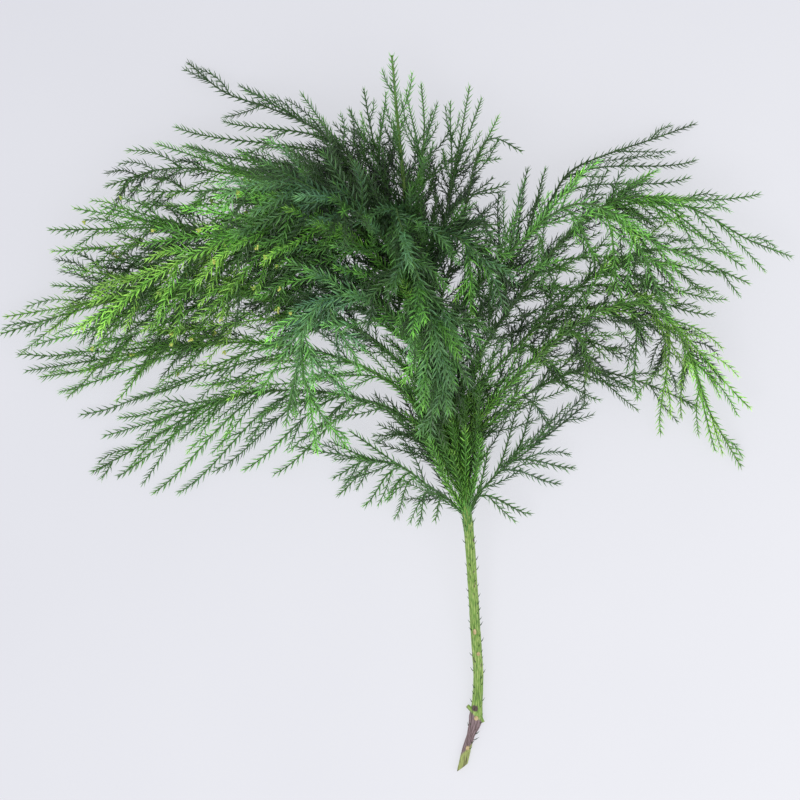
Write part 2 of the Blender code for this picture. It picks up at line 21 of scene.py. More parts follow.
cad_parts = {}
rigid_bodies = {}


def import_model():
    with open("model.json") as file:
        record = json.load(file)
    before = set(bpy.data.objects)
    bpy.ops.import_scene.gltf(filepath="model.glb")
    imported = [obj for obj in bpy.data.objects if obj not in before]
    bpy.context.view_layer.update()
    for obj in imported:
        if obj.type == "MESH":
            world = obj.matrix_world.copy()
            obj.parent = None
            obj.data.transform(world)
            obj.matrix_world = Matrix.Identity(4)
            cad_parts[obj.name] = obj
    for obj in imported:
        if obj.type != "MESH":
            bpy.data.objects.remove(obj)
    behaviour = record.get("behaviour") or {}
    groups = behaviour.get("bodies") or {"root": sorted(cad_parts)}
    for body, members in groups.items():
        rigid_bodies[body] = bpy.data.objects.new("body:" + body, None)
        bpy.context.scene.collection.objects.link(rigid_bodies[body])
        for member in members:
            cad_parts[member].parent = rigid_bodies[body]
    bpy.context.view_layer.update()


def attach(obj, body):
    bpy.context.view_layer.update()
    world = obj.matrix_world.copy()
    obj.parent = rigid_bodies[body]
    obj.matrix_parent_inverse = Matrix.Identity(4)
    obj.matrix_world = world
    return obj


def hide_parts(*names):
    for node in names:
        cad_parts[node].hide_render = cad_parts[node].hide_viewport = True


LOG = logging.getLogger("cryptomeria_branch")
MM = 0.001
MIDDLE_RIGHT = 395.6
MIDDLE_DOWN = 415.3
GOLDEN_ANGLE = math.radians(137.508)

Spot = tuple[float, ...]
Pair = tuple[float, float]
Triple = tuple[float, float, float]

# Bare stem, from the cut end to the first fork, as (right, down, up, radius).
STEM: tuple[Spot, ...] = (
    (461, 776, 4.1, 4.5), (466, 752, 4.4, 4.3), (471, 736, 4.8, 4.0), (475, 724, 6.0, 6.2),
    (476, 716, 6.6, 6.8), (477, 706, 7.8, 5.4), (478, 690, 10.5, 5.0), (478, 668, 14, 4.9),
    (476, 640, 19, 5.0), (474, 610, 25, 4.9), (472, 580, 31, 4.8), (470, 550, 38, 4.8),
    (467.2, 521, 44.8, 4.8),
)

# Leafy leader, above the first fork, as (right, down, up, radius to the needle tips).
LEADER: tuple[Spot, ...] = (
    (466.7, 518, 45.5, 4.9), (463, 490, 51.6, 5.4), (458, 460, 58, 5.8), (453, 430, 64, 5.8),
    (447, 400, 70, 5.8), (440, 365, 74, 5.8), (431, 330, 78, 5.7), (421, 290, 81, 5.6),
    (412, 250, 82, 5.6), (406, 210, 80, 6.0), (402, 170, 76, 6.4), (398, 130, 70, 6.6),
    (395, 95, 63, 6.0), (392, 60, 55, 1.6),
)

# Each limb: the route of its axis, then the tips of its side shoots after the share of the axis
# at which each one leaves it.
LIMBS: dict[str, tuple[tuple[Spot, ...], tuple[Spot, ...]]] = {
    "lower_left_limb": (
        ((460, 511, 44), (448, 499, 40), (425, 484, 31), (396, 464, 22), (352, 457, 12), (296, 447, 3)),
        ((0.14, 435, 520, 26), (0.22, 418, 525, 12), (0.32, 395, 518, 3), (0.42, 364, 506, 3),
         (0.36, 386, 500, 14), (0.55, 338, 495, 2), (0.60, 333, 478, 9), (0.40, 350, 431, 18),
         (0.58, 329, 441, 14)),
    ),
    "lower_right_limb": (
        ((470, 507, 46), (482, 491, 41), (503, 469, 34), (530, 449, 26), (560, 425, 14), (588, 403, 4)),
        ((0.08, 531, 514, 14), (0.30, 560, 484, 3), (0.40, 575, 468, 3), (0.50, 586, 394, 16),
         (0.24, 519, 402, 36), (0.36, 545, 374, 26)),
    ),
    "left_limb_1": (
        ((460, 466, 54), (440, 438, 52), (400, 409, 47), (350, 395, 39), (300, 389, 31), (250, 393, 23),
         (205, 407, 16), (150, 440, 9), (92, 472, 2)),
        ((0.50, 119, 417, 12), (0.56, 104, 436, 6), (0.62, 117, 477, 2), (0.52, 153, 493, 2),
         (0.44, 178, 493, 3), (0.38, 213, 472, 5), (0.33, 243, 470, 4), (0.26, 274, 474, 5),
         (0.30, 302, 440, 16)),
    ),
    "left_limb_2": (
        ((457, 452, 60), (430, 414, 62), (385, 376, 61), (330, 354, 55), (270, 343, 47), (210, 344, 38),
         (150, 352, 28), (95, 368, 15), (40, 377, 4)),
        ((0.45, 134, 398, 12), (0.38, 80, 415, 4), (0.60, 59, 392, 4), (0.70, 26, 371, 9),
         (0.56, 19, 354, 18), (0.30, 196, 386, 22), (0.22, 262, 385, 30), (0.40, 150, 330, 34)),
    ),
    "left_limb_3": (
        ((453, 428, 68), (420, 384, 74), (370, 338, 78), (310, 309, 76), (250, 296, 69), (190, 292, 60),
         (130, 299, 48), (70, 314, 32), (1, 334, 13)),
        ((0.68, 6, 317, 20), (0.46, 55, 286, 36), (0.36, 66, 268, 46), (0.56, 36, 348, 18),
         (0.48, 90, 350, 26), (0.30, 160, 330, 48), (0.24, 205, 262, 66)),
    ),
    "left_limb_4": (
        ((447, 402, 72), (420, 348, 82), (380, 298, 88), (330, 264, 88), (275, 244, 82), (215, 234, 73),
         (160, 230, 61), (105, 231, 48), (52, 231, 34)),
        ((0.66, 77, 210, 38), (0.72, 104, 208, 42), (0.56, 54, 252, 30), (0.46, 100, 262, 44),
         (0.36, 125, 210, 64), (0.30, 200, 205, 78), (0.24, 240, 276, 78)),
    ),
    "left_limb_5": (
        ((441, 372, 78), (418, 307, 88), (385, 252, 94), (340, 214, 92), (290, 191, 84), (230, 177, 72),
         (170, 172, 58), (109, 188, 42)),
        ((0.58, 160, 147, 56), (0.50, 135, 192, 50), (0.44, 146, 206, 54), (0.38, 203, 160, 66),
         (0.28, 250, 222, 80), (0.30, 245, 160, 74)),
    ),
    "left_limb_6": (
        ((433, 338, 78), (412, 272, 78), (385, 213, 73), (355, 166, 63), (315, 131, 51), (270, 110, 38),
         (225, 93, 19), (188, 62, 1.6)),
        ((0.45, 176, 127, 14), (0.38, 189, 146, 22), (0.55, 224, 122, 20), (0.32, 222, 160, 38),
         (0.34, 303, 97, 38), (0.62, 240, 86, 16), (0.26, 262, 163, 52)),
    ),
    "back_left_limb": (
        ((459, 470, 56), (445, 455, 52), (421, 438, 45), (396, 419, 36), (375, 394, 26)),
        ((0.50, 373, 436, 24), (0.36, 400, 392, 38)),
    ),
    "centre_left_limb": (
        ((420, 288, 78), (402, 232, 73), (385, 181, 62), (372, 135, 49), (364, 91, 34)),
        ((0.55, 350, 112, 34), (0.40, 330, 150, 46), (0.62, 386, 94, 34), (0.34, 340, 190, 56)),
    ),
    "centre_right_limb_1": (
        ((414, 262, 82), (416, 216, 79), (421, 166, 70), (424, 130, 60), (421, 87, 46)),
        ((0.50, 406, 93, 50), (0.58, 437, 106, 46), (0.36, 446, 160, 62)),
    ),
    "centre_right_limb_2": (
        ((425, 304, 76), (437, 252, 73), (448, 200, 67), (458, 150, 57), (469, 89, 40)),
        ((0.55, 481, 101, 40), (0.50, 450, 104, 42), (0.38, 492, 180, 52)),
    ),
    "centre_right_limb_3": (
        ((431, 326, 82), (448, 272, 86), (463, 216, 88), (474, 166, 84), (490, 143, 77), (520, 155, 62)),
        ((0.68, 497, 120, 64), (0.54, 506, 186, 62), (0.42, 500, 226, 66), (0.70, 498, 162, 62)),
    ),
    "right_limb_1": (
        ((441, 374, 70), (465, 332, 66), (495, 286, 58), (525, 241, 49), (548, 204, 41), (568, 174, 34),
         (605, 156, 27), (650, 140, 13), (696, 123, 1.6)),
        ((0.60, 696, 160, 4), (0.54, 690, 177, 3), (0.32, 527, 170, 36), (0.40, 545, 170, 34),
         (0.26, 498, 196, 46), (0.42, 602, 198, 30), (0.24, 566, 250, 40)),
    ),
    "right_limb_2": (
        ((448, 401, 76), (480, 348, 82), (520, 292, 89), (560, 242, 92), (605, 207, 87), (650, 201, 76),
         (700, 217, 60), (745, 241, 42), (790, 257, 22)),
        ((0.50, 756, 196, 42), (0.54, 716, 210, 54), (0.58, 717, 246, 42), (0.62, 743, 268, 32),
         (0.40, 648, 176, 74), (0.34, 640, 256, 74), (0.28, 600, 292, 72)),
    ),
    "right_limb_3": (
        ((452, 422, 68), (490, 375, 71), (535, 328, 74), (580, 288, 76), (625, 258, 71), (665, 252, 62),
         (705, 265, 48), (747, 284, 30)),
        ((0.60, 725, 273, 38), (0.52, 724, 300, 34), (0.48, 711, 315, 36), (0.40, 668, 330, 46),
         (0.32, 618, 350, 54), (0.26, 560, 372, 58)),
    ),
    "right_limb_4": (
        ((455, 440, 64), (500, 388, 79), (550, 342, 93), (600, 309, 98), (645, 308, 88), (675, 336, 72),
         (692, 372, 54), (708, 412, 32), (742, 467, 1.6)),
        ((0.55, 749, 408, 24), (0.58, 661, 434, 8), (0.68, 716, 451, 4), (0.48, 636, 398, 48),
         (0.42, 700, 338, 64), (0.34, 596, 372, 66)),
    ),
    "right_limb_5": (
        ((458, 456, 56), (495, 419, 50), (540, 387, 41), (585, 371, 30), (640, 382, 16), (700, 407, 2)),
        ((0.42, 599, 400, 14), (0.50, 624, 388, 14), (0.58, 637, 390, 10), (0.30, 552, 428, 22),
         (0.34, 592, 340, 38), (0.24, 524, 350, 54)),
    ),
    "back_right_limb": (
        ((463, 480, 50), (476, 440, 56), (490, 400, 60), (505, 360, 61), (522, 322, 56)),
        ((0.36, 528, 402, 44), (0.55, 552, 340, 44), (0.45, 476, 350, 64)),
    ),
    "front_left_limb_1": (
        ((437, 354, 88), (405, 294, 112), (360, 248, 132), (300, 231, 138), (240, 243, 131), (180, 270, 114),
         (130, 301, 93), (80, 332, 70)),
        ((0.32, 262, 300, 116), (0.42, 200, 322, 98), (0.52, 148, 332, 82), (0.60, 100, 298, 84),
         (0.28, 252, 190, 124), (0.38, 190, 214, 114), (0.48, 150, 248, 102)),
    ),
    "front_left_limb_2": (
        ((444, 388, 84), (415, 342, 114), (375, 307, 139), (335, 302, 146), (310, 326, 134), (305, 366, 113),
         (318, 406, 88), (347, 446, 58)),
        ((0.42, 268, 350, 108), (0.50, 262, 392, 86), (0.60, 288, 424, 72), (0.62, 350, 398, 94),
         (0.46, 360, 372, 118), (0.34, 290, 265, 136)),
    ),
    "front_left_limb_3": (
        ((426, 312, 92), (395, 258, 122), (358, 219, 148), (312, 198, 162), (268, 194, 162), (225, 205, 150)),
        ((0.50, 346, 222, 192), (0.55, 238, 240, 142), (0.40, 326, 162, 146), (0.58, 272, 176, 203)),
    ),
    "front_centre_limb_1": (
        ((410, 240, 92), (400, 218, 120), (398, 222, 148), (411, 262, 166), (428, 315, 164), (442, 366, 148),
         (448, 414, 122)),
        ((0.50, 478, 346, 142), (0.58, 466, 384, 128), (0.62, 420, 412, 118), (0.50, 412, 336, 204),
         (0.70, 430, 436, 98), (0.40, 368, 306, 152)),
    ),
    "front_centre_limb_2": (
        ((422, 294, 92), (426, 258, 118), (441, 240, 141), (466, 252, 150), (488, 280, 143), (502, 314, 126)),
        ((0.50, 506, 262, 132), (0.55, 470, 318, 134), (0.35, 470, 212, 134)),
    ),
    "front_right_limb": (
        ((434, 344, 90), (470, 294, 112), (515, 248, 131), (560, 214, 138), (600, 217, 130), (630, 250, 112),
         (650, 290, 90), (665, 322, 68)),
        ((0.50, 590, 262, 116), (0.60, 616, 302, 98), (0.66, 688, 268, 96), (0.38, 576, 180, 130),
         (0.30, 520, 190, 124), (0.40, 540, 290, 116)),
    ),
}

# Steps of a smooth curve from one read place to the next, and the fewest points of a route.
CURVE_STEPS = 12
FEWEST_POINTS = 4


@dataclass
class Axis:
    """Row of evenly spaced places along a limb or a shoot.

    Attributes:
        limb: Name of the limb that it belongs to, or "leader" or "stem".
        points: The places, in millimetres from the middle of the sheet.
    """

    limb: str
    points: np.ndarray

    @property
    def length(self) -> float:
        """Length along the places, in millimetres."""
        return row_length(self.points)


@dataclass
class Strand(Axis):
    """Axis of a limb or of one side shoot, while the crown is laid out.

    Attributes:
        parent: Index of the strand that it leaves, or -1 for a limb's axis.
        share: Share of the parent's length at which it leaves.
        station: For a limb's axis, the index of the leader's point that it leaves.
    """

    parent: int
    share: float
    station: int = 0


def place(spot: Iterable[float]) -> np.ndarray:
    """Turns a place on the sheet into millimetres from its middle, with up last."""
    right, down, up = list(spot)[:3]
    return np.array((right - MIDDLE_RIGHT, MIDDLE_DOWN - down, up), dtype=float)


def unit(vector: np.ndarray) -> np.ndarray:
    """Returns the vector at length one."""
    return vector / max(float(np.linalg.norm(vector)), 1e-9)


def unit_rows(rows: np.ndarray) -> np.ndarray:
    """Returns rows of vectors, each at length one."""
    return rows / np.linalg.norm(rows, axis=1)[:, None]


def row_length(points: np.ndarray) -> float:
    """Returns the length along a row of points."""
    return float(np.linalg.norm(np.diff(points, axis=0), axis=1).sum())


def resample(points: np.ndarray, count: int) -> np.ndarray:
    """Spaces points evenly along a row of points.

    Args:
        points: The row.
        count: Number of points wanted.

    Returns:
        The new points, with the same ends.
    """
    steps = np.linalg.norm(np.diff(points, axis=0), axis=1)
    along = np.concatenate(((0.0,), np.cumsum(steps)))
    wanted = np.linspace(0.0, along[-1], count)
    return np.stack([np.interp(wanted, along, points[:, k]) for k in range(3)], axis=1)


def smooth_route(points: np.ndarray, step: float) -> np.ndarray:
    """Runs a Catmull-Rom curve through the points.

    Args:
        points: The places that the curve passes.
        step: Distance between the returned points, in millimetres.

    Returns:
        Evenly spaced points along the curve.
    """
    padded = np.vstack((2 * points[0] - points[1], points, 2 * points[-1] - points[-2]))
    share = np.linspace(0.0, 1.0, CURVE_STEPS, endpoint=False)[:, None]
    pieces = []
    for before, start, end, after in zip(padded, padded[1:], padded[2:], padded[3:]):
        pieces.append(0.5 * (2 * start + (end - before) * share
                             + (2 * before - 5 * start + 4 * end - after) * share ** 2
                             + (3 * start - before - 3 * end + after) * share ** 3))
    curve = np.vstack(pieces + [points[-1:]])
    return resample(curve, max(FEWEST_POINTS, round(row_length(curve) / step) + 1))


def at_share(points: np.ndarray, share: float) -> tuple[np.ndarray, np.ndarray]:
    """Finds the place at a share of an evenly spaced row of points.

    Args:
        points: The row.
        share: Share of its length.

    Returns:
        The point there and the direction of the row.
    """
    where = share * (len(points) - 1)
    low = min(int(where), len(points) - 2)
    point = points[low] + (points[low + 1] - points[low]) * (where - low)
    return point, unit(points[low + 1] - points[low])


@dataclass
class Growth:
    """Lays out the limbs and side shoots as the part's source does, and makes room between them.

    A reach is the radius of the needles' envelope round an axis. Lengths are in millimetres.

    Attributes:
        leader_room: Room for needles that is kept free round the leader's envelope.
        away_point: Point of a limb that shows on which side it leaves the leader.
        limb_rise: Greatest length over which a limb's envelope opens, and as a share of its length.
        shoot_rise: Share of a side shoot's length over which its envelope opens.
        shoot_base: Reach at a side shoot's base, as a share of its full reach.
        leave: How far a side shoot leans outward where it leaves, and for which share of its span.
        arrive: How far it leans forward at its tip, and for which share of its span.
        rest_share: Least height of an axis above the sheet, as a share of its reach.
        spread_share: Share of the lacking room by which a point moves right, up the sheet and upward.
    """

    sample_step: float = 8.0
    leader_step: float = 6.0
    limb_reach: float = 7.6
    shoot_reach: float = 8.2
    tip_reach: float = 1.8
    base_reach: float = 2.4
    gap: float = 0.35
    leader_room: float = 3.4
    clear_share: float = 0.6
    held_points: int = 2
    away_point: int = 4
    limb_rise: Pair = (150.0, 0.6)
    shoot_rise: float = 0.35
    shoot_base: float = 0.6
    tip_length: float = 20.0
    leave: Pair = (0.9, 0.34)
    arrive: Pair = (0.35, 0.30)
    bend_points: int = 24
    slack: float = 1.04
    rest_share: float = 0.7
    spread_rounds: int = 70
    pair_rounds: int = 10
    even_rounds: int = 3
    spread_gap: float = 1.0
    pair_distance: float = 24.0
    spread_share: Triple = (0.22, 0.22, 0.60)
    leader: np.ndarray = field(init=False)
    leader_reach: np.ndarray = field(init=False)
    strands: list[Strand] = field(init=False)

    def __post_init__(self) -> None:
        """Makes the leader's axis and every strand."""
        rings = np.array([place(spot) for spot in LEADER])
        self.leader = smooth_route(rings, self.leader_step)
        self.leader_reach = np.interp(np.linspace(0, 1, len(self.leader)),
                                      np.linspace(0, 1, len(rings)), [spot[3] for spot in LEADER])
        self.strands = self.lay_out()
        self.spread()

    def shoot_route(self, axis: np.ndarray, share: float, tip: np.ndarray) -> np.ndarray:
        """Bends a side shoot out of the axis and forward to its tip.

        Args:
            axis: Points of the limb's axis.
            share: Share of the axis at which the shoot leaves it.
            tip: Place of the shoot's tip.

        Returns:
            The shoot's points.
        """
        start, forward = at_share(axis, share)
        span = np.linalg.norm(tip - start)
        outward = unit(tip - start)
        leave = start + unit(forward + self.leave[0] * outward) * self.leave[1] * span
        arrive = tip - unit(outward + self.arrive[0] * forward) * self.arrive[1] * span
        t = np.linspace(0.0, 1.0, self.bend_points)[:, None]
        curve = ((1 - t) ** 3 * start + 3 * (1 - t) ** 2 * t * leave
                 + 3 * (1 - t) * t ** 2 * arrive + t ** 3 * tip)
        return resample(curve, max(FEWEST_POINTS, round(self.slack * span / self.sample_step) + 1))

    def lay_out(self) -> list[Strand]:
        """Makes the strands of all limbs as they were read.

        Returns:
            The strands, before they are spread.
        """
        strands: list[Strand] = []
        for name, (route, tips) in LIMBS.items():
            axis = smooth_route(np.array([place(spot) for spot in route]), self.sample_step)
            station = int(np.argmin(np.linalg.norm(self.leader - axis[0], axis=1)))
            parent = len(strands)
            strands.append(Strand(name, axis, -1, 0.0, station))
            for share, *tip in tips:
                strands.append(Strand(name, self.shoot_route(axis, share, place(tip)), parent, share))
        return strands

    def nominal_reach(self, strand: Strand) -> np.ndarray:
        """Finds how far the needles of a strand reach when it has no neighbours.

        Args:
            strand: The strand.

        Returns:
            The reach at each of its points.
        """
        t = np.linspace(0.0, 1.0, len(strand.points))
        length = strand.length
        if strand.parent < 0:
            full, base = self.limb_reach, self.base_reach
            rise = min(self.limb_rise[0], self.limb_rise[1] * length)
        else:
            full, base = self.shoot_reach, self.shoot_base * self.shoot_reach
            rise = self.shoot_rise * length
        open_out = base + (full - base) * np.clip(t * length / rise, 0.0, 1.0)
        from_tip = np.clip((1.0 - t) * length / self.tip_length, 0.0, 1.0)
        return np.minimum(open_out, self.tip_reach + (full - self.tip_reach) * from_tip)

    def join_bases(self) -> None:
        """Sets every limb on its side of the leader, and every side shoot on its limb."""
        for strand in self.strands:
            if strand.parent < 0:
                core = self.leader[strand.station]
                along = unit(self.leader[min(strand.station + 1, len(self.leader) - 1)]
                             - self.leader[max(strand.station - 1, 0)])
                aside = strand.points[self.away_point] - core
                aside = unit(aside - along * np.dot(aside, along))
                reach = self.leader_reach[strand.station]
                target = core + aside * (reach + self.base_reach + self.gap)
            else:
                target = at_share(self.strands[strand.parent].points, strand.share)[0]
            fade = (1.0 - np.linspace(0.0, 1.0, len(strand.points)))[:, None] ** 2
            strand.points = strand.points + (target - strand.points[0]) * fade

    def clear_leader(self) -> None:
        """Moves points that lie in the leader's needles out to the side, with room for their own."""
        for strand in self.strands:
            apart = strand.points[:, None, :] - self.leader[None, :, :]
            distance = np.linalg.norm(apart, axis=2)
            nearest = distance.argmin(axis=1)
            row = np.arange(len(strand.points))
            away = distance[row, nearest]
            lack = np.clip(self.leader_reach[nearest] + self.leader_room - away, 0.0, None)
            if strand.parent < 0:
                lack *= np.clip(row / self.held_points, 0.0, 1.0)
            outward = apart[row, nearest] / (away[:, None] + 1e-6)
            strand.points = strand.points + outward * lack[:, None] * self.clear_share

    def near_pairs(self, cloud: np.ndarray, owner: np.ndarray) -> np.ndarray:
        """Finds close points that belong to different limbs.

        Args:
            cloud: Every point of the leader and the strands.
            owner: Number of the limb of each point.

        Returns:
            Two rows with the indices of the points of each pair.
        """
        tree = KDTree(len(cloud))
        for index, point in enumerate(cloud):
            tree.insert(point, index)
        tree.balance()
        pairs = [(index, other) for index, point in enumerate(cloud)
                 for _, other, _ in tree.find_range(point, self.pair_distance)
                 if other > index and owner[other] != owner[index]]
        return np.array(pairs).T

    def push(self, cloud: np.ndarray, room: np.ndarray, pairs: np.ndarray) -> np.ndarray:
        """Works out how points push each other away.

        Args:
            cloud: Every point of the leader and the strands.
            room: Room that each point's needles take.
            pairs: Pairs of close points.

        Returns:
            The mean push on each point.
        """
        one, two = pairs
        apart = cloud[one] - cloud[two]
        distance = np.linalg.norm(apart, axis=1) + 1e-6
        lack = np.clip(room[one] + room[two] + self.spread_gap - distance, 0.0, None)
        part = apart / distance[:, None] * lack[:, None]
        total = np.zeros_like(cloud)
        crowd = np.zeros(len(cloud))
        for points, way in ((one, 1.0), (two, -1.0)):
            np.add.at(total, points, way * part)
            np.add.at(crowd, points, lack > 0)
        return total / np.maximum(crowd, 1.0)[:, None]

    def even_out(self, move: np.ndarray) -> np.ndarray:
        """Evens out the moves of neighbouring points.

        Args:
            move: Move of each point of a strand.

        Returns:
            The smoother moves.
        """
        for _ in range(self.even_rounds):
            padded = np.vstack((move[:1], move, move[-1:]))
            move = 0.25 * padded[:-2] + 0.5 * padded[1:-1] + 0.25 * padded[2:]
        return move

    def spread(self) -> None:
        """Pushes strands of different limbs apart until their needles have room."""
        names = list(LIMBS)
        counts = [len(strand.points) for strand in self.strands]
        owner = np.repeat([-1] + [names.index(strand.limb) for strand in self.strands],
                          [len(self.leader)] + counts)
        room = np.concatenate([self.leader_reach] + [self.nominal_reach(strand) for strand in self.strands])
        ends = len(self.leader) + np.cumsum(counts)
        spans = [slice(end - count, end) for end, count in zip(ends, counts)]
        self.join_bases()
        for turn in range(self.spread_rounds):
            cloud = np.vstack([self.leader] + [strand.points for strand in self.strands])
            if turn % self.pair_rounds == 0:
                pairs = self.near_pairs(cloud, owner)
            pushes = self.push(cloud, room, pairs)
            for strand, span in zip(self.strands, spans):
                strand.points = strand.points + self.even_out(pushes[span] * np.array(self.spread_share))
            self.clear_leader()
            self.join_bases()
            for strand, span in zip(self.strands, spans):
                strand.points[:, 2] = np.maximum(strand.points[:, 2], self.rest_share * room[span])


class Order(IntEnum):
    """Orders of branching: an axis, a read side shoot, a small shoot and a hidden inner one."""

    AXIS = 1
    SIDE = 2
    SMALL = 3
    INNER = 4


class Kind(Enum):
    """Kinds of needle: on shoots in view, on hidden inner shoots, and on the bare stem."""

    FULL = "full"
    PLAIN = "plain"
    SPINE = "spine"


@dataclass
class Shoot(Axis):
    """One needle-clad shoot, ready to be dressed.

    Attributes:
        order: Its order of branching; the leader's is that of a limb's axis.
        twig: Radii of the twig at its base and its tip, in millimetres.
        warmth: From 0, blue green, to 1, yellow green.
        light: Brightness of its needles, around 1; besides random differences it carries painted light and
            painted shade.
        pressed_length: Length at the base over which its needles lie against the twig.
        needle_share: Factor on the length of its needles.
        kind: Kind of its needles.
        sparse: Factor on the distance between its needles.
    """

    order: Order
    twig: Pair
    warmth: float
    light: float
    pressed_length: float = 0.0
    needle_share: float = 1.0
    kind: Kind = Kind.FULL
    sparse: float = 1.0


@dataclass(frozen=True)
class Tone:
    """Look of a limb's needles.

    Attributes:
        warmth: From 0, blue green, to 1, yellow green.
        light: Brightness, around 1: painted light or painted shade by where the limb lies in the crown.
        fullness: Factor on the number of its small shoots.
        needle: Factor on the length of its needles.
    """

    warmth: float
    light: float
    fullness: float = 1.0
    needle: float = 1.0


# Tone of each limb. Its light is painted light and painted shade: the limbs that stand toward the camera and
# the drooping ones are the brightest, as if lit, and the limbs at the back the darkest, as if in shade.
TONES: dict[str, Tone] = {
    "leader": Tone(0.46, 0.95, 0.8),
    "lower_left_limb": Tone(0.42, 0.92, 0.45, 1.0),
    "lower_right_limb": Tone(0.42, 0.80, 0.6, 1.0),
    "left_limb_1": Tone(0.44, 0.95, 1.0, 1.05),
    "left_limb_2": Tone(0.56, 0.95),
    "left_limb_3": Tone(0.62, 1.05),
    "left_limb_4": Tone(0.56, 0.95),
    "left_limb_5": Tone(0.54, 0.90),
    "left_limb_6": Tone(0.48, 0.85, 0.75),
    "back_left_limb": Tone(0.40, 0.45),
    "centre_left_limb": Tone(0.44, 1.05, 0.4, 0.85),
    "centre_right_limb_1": Tone(0.44, 1.05, 0.4, 0.85),
    "centre_right_limb_2": Tone(0.42, 0.85, 0.45, 0.85),
    "centre_right_limb_3": Tone(0.55, 0.95, 0.55, 0.85),
    "right_limb_1": Tone(0.40, 0.60, 0.7, 0.9),
    "right_limb_2": Tone(0.54, 0.85, 0.9, 0.95),
    "right_limb_3": Tone(0.60, 0.90, 0.9, 0.95),
    "right_limb_4": Tone(0.75, 1.10, 0.9),
    "right_limb_5": Tone(0.46, 0.70, 0.8, 0.95),
    "back_right_limb": Tone(0.38, 0.42, 0.8, 0.9),
    "front_left_limb_1": Tone(0.62, 1.15, 0.8, 1.1),
    "front_left_limb_2": Tone(0.43, 1.12, 0.6, 1.3),
    "front_left_limb_3": Tone(0.40, 1.10, 0.6, 1.3),
    "front_centre_limb_1": Tone(0.45, 1.15, 0.7, 1.35),
    "front_centre_limb_2": Tone(0.48, 1.20, 0.7, 1.25),
    "front_right_limb": Tone(0.54, 1.05, 0.8, 1.05),
}

# Where the crown is thick, as (right, down, half width, half height, share).
THICKETS: tuple[Spot, ...] = (
    (365, 245, 165, 125, 1.0), (185, 290, 125, 85, 0.7), (590, 285, 130, 90, 0.5), (452, 430, 40, 110, 0.9),
    (165, 185, 75, 30, 0.7), (515, 310, 60, 60, 0.85), (380, 325, 55, 35, 0.8), (610, 230, 65, 45, 0.6),
    (662, 350, 38, 28, 0.9), (560, 345, 70, 42, 0.6), (450, 330, 45, 75, 0.75),
)

# Patches of painted light and painted shade on the needles, each with a shift of hue, as (right, down, half
# width, half height, warmth added, light added).
PAINTED_LIGHT_AND_SHADE_PATCHES: tuple[Spot, ...] = (
    (150, 310, 160, 95, 0.14, 0.30), (700, 400, 75, 95, 0.08, 0.26), (640, 190, 95, 75, 0.08, 0.30),
    (340, 260, 90, 90, -0.03, 0.05), (485, 190, 75, 65, -0.05, -0.40), (590, 340, 100, 55, 0.0, -0.25),
    (540, 430, 80, 60, 0.0, -0.10), (345, 185, 75, 60, 0.0, -0.35), (430, 100, 130, 70, 0.04, 0.20),
    (335, 335, 50, 85, -0.20, 0.38), (320, 207, 35, 25, -0.15, 0.40), (462, 460, 40, 75, 0.16, 0.40),
    (190, 440, 120, 65, 0.08, 0.50), (385, 475, 75, 50, 0.0, 0.25), (745, 230, 60, 60, 0.04, 0.30),
    (40, 325, 70, 50, -0.04, -0.15), (170, 205, 85, 40, 0.05, 0.28), (240, 205, 55, 45, 0.06, 0.15),
    (640, 255, 75, 60, 0.06, 0.20),
)

# Gaps in the crown's outline, where no small shoot ends, as (right, down, half width, half height).
CLEARINGS: tuple[Spot, ...] = (
    (570, 130, 45, 32), (412, 540, 30, 16), (312, 352, 20, 16), (515, 110, 18, 22), (365, 412, 22, 14),
)

# How soon thickness and painted light grow to their full share inside a patch's edge.
THICKET_STEEPNESS = 2.0
PAINTED_LIGHT_STEEPNESS = 1.6

# A direction that no shoot runs along.
ASIDE = (0.31, 0.17, 0.93)


@dataclass(frozen=True)
class Sprout:
    """Measures that the small shoots of one sort share.

    Attributes:
        order: Their order.
        twig: Radii of the twig at its base and its tip, in millimetres.
        size: Least and greatest length, in millimetres or as a share of the room along the parent.
        warmth: Middle and spread of what is added to the warmth.
        light: Least and greatest factor on the brightness.
        needle: Factor on the length of the needles.
        pressed_length: Length at the base over which the needles lie against the twig.
        kind: Kind of the needles.
    """

    order: Order
    twig: Pair
    size: Pair
    warmth: Pair
    light: Pair
    needle: float = 1.0
    pressed_length: float = 0.0
    kind: Kind = Kind.FULL


SMALL = Sprout(Order.SMALL, twig=(0.6, 0.35), size=(0.62, 1.05), warmth=(0.02, 0.07), light=(0.85, 1.18),
               needle=0.92)
# Inner shoots are dark: painted shade of the crown's inside.
INNER = Sprout(Order.INNER, twig=(0.6, 0.4), size=(30.0, 54.0), warmth=(0.42, 0.06), light=(0.22, 0.5),
               needle=1.1, kind=Kind.PLAIN)
BUNDLED = Sprout(Order.SMALL, twig=(1.3, 0.6), size=(60.0, 105.0), warmth=(0.50, 0.07),
                 light=(0.35, 1.35), pressed_length=60.0)


def patch_share(spots: np.ndarray, patch: Spot, steepness: float = 1.0) -> np.ndarray:
    """Finds how far inside a patch some places lie.

    Args:
        spots: The places.
        patch: The patch, as (right, down, half width, half height) and what else it holds.
        steepness: How soon the share grows from the patch's edge.

    Returns:
        Shares from 0 at the edge to 1 at the middle or before it.
    """
    right, down, half_right, half_down = patch[:4]
    middle = place((right, down, 0.0))
    reach = np.hypot((spots[:, 0] - middle[0]) / half_right, (spots[:, 1] - middle[1]) / half_down)
    return np.clip(steepness * (1.0 - reach), 0.0, 1.0)


def thickness(spots: np.ndarray) -> np.ndarray:
    """Returns how thick the crown is at some places, from 0 at its rim to 1."""
    return np.max([patch[4] * patch_share(spots, patch, THICKET_STEEPNESS) for patch in THICKETS], axis=0)


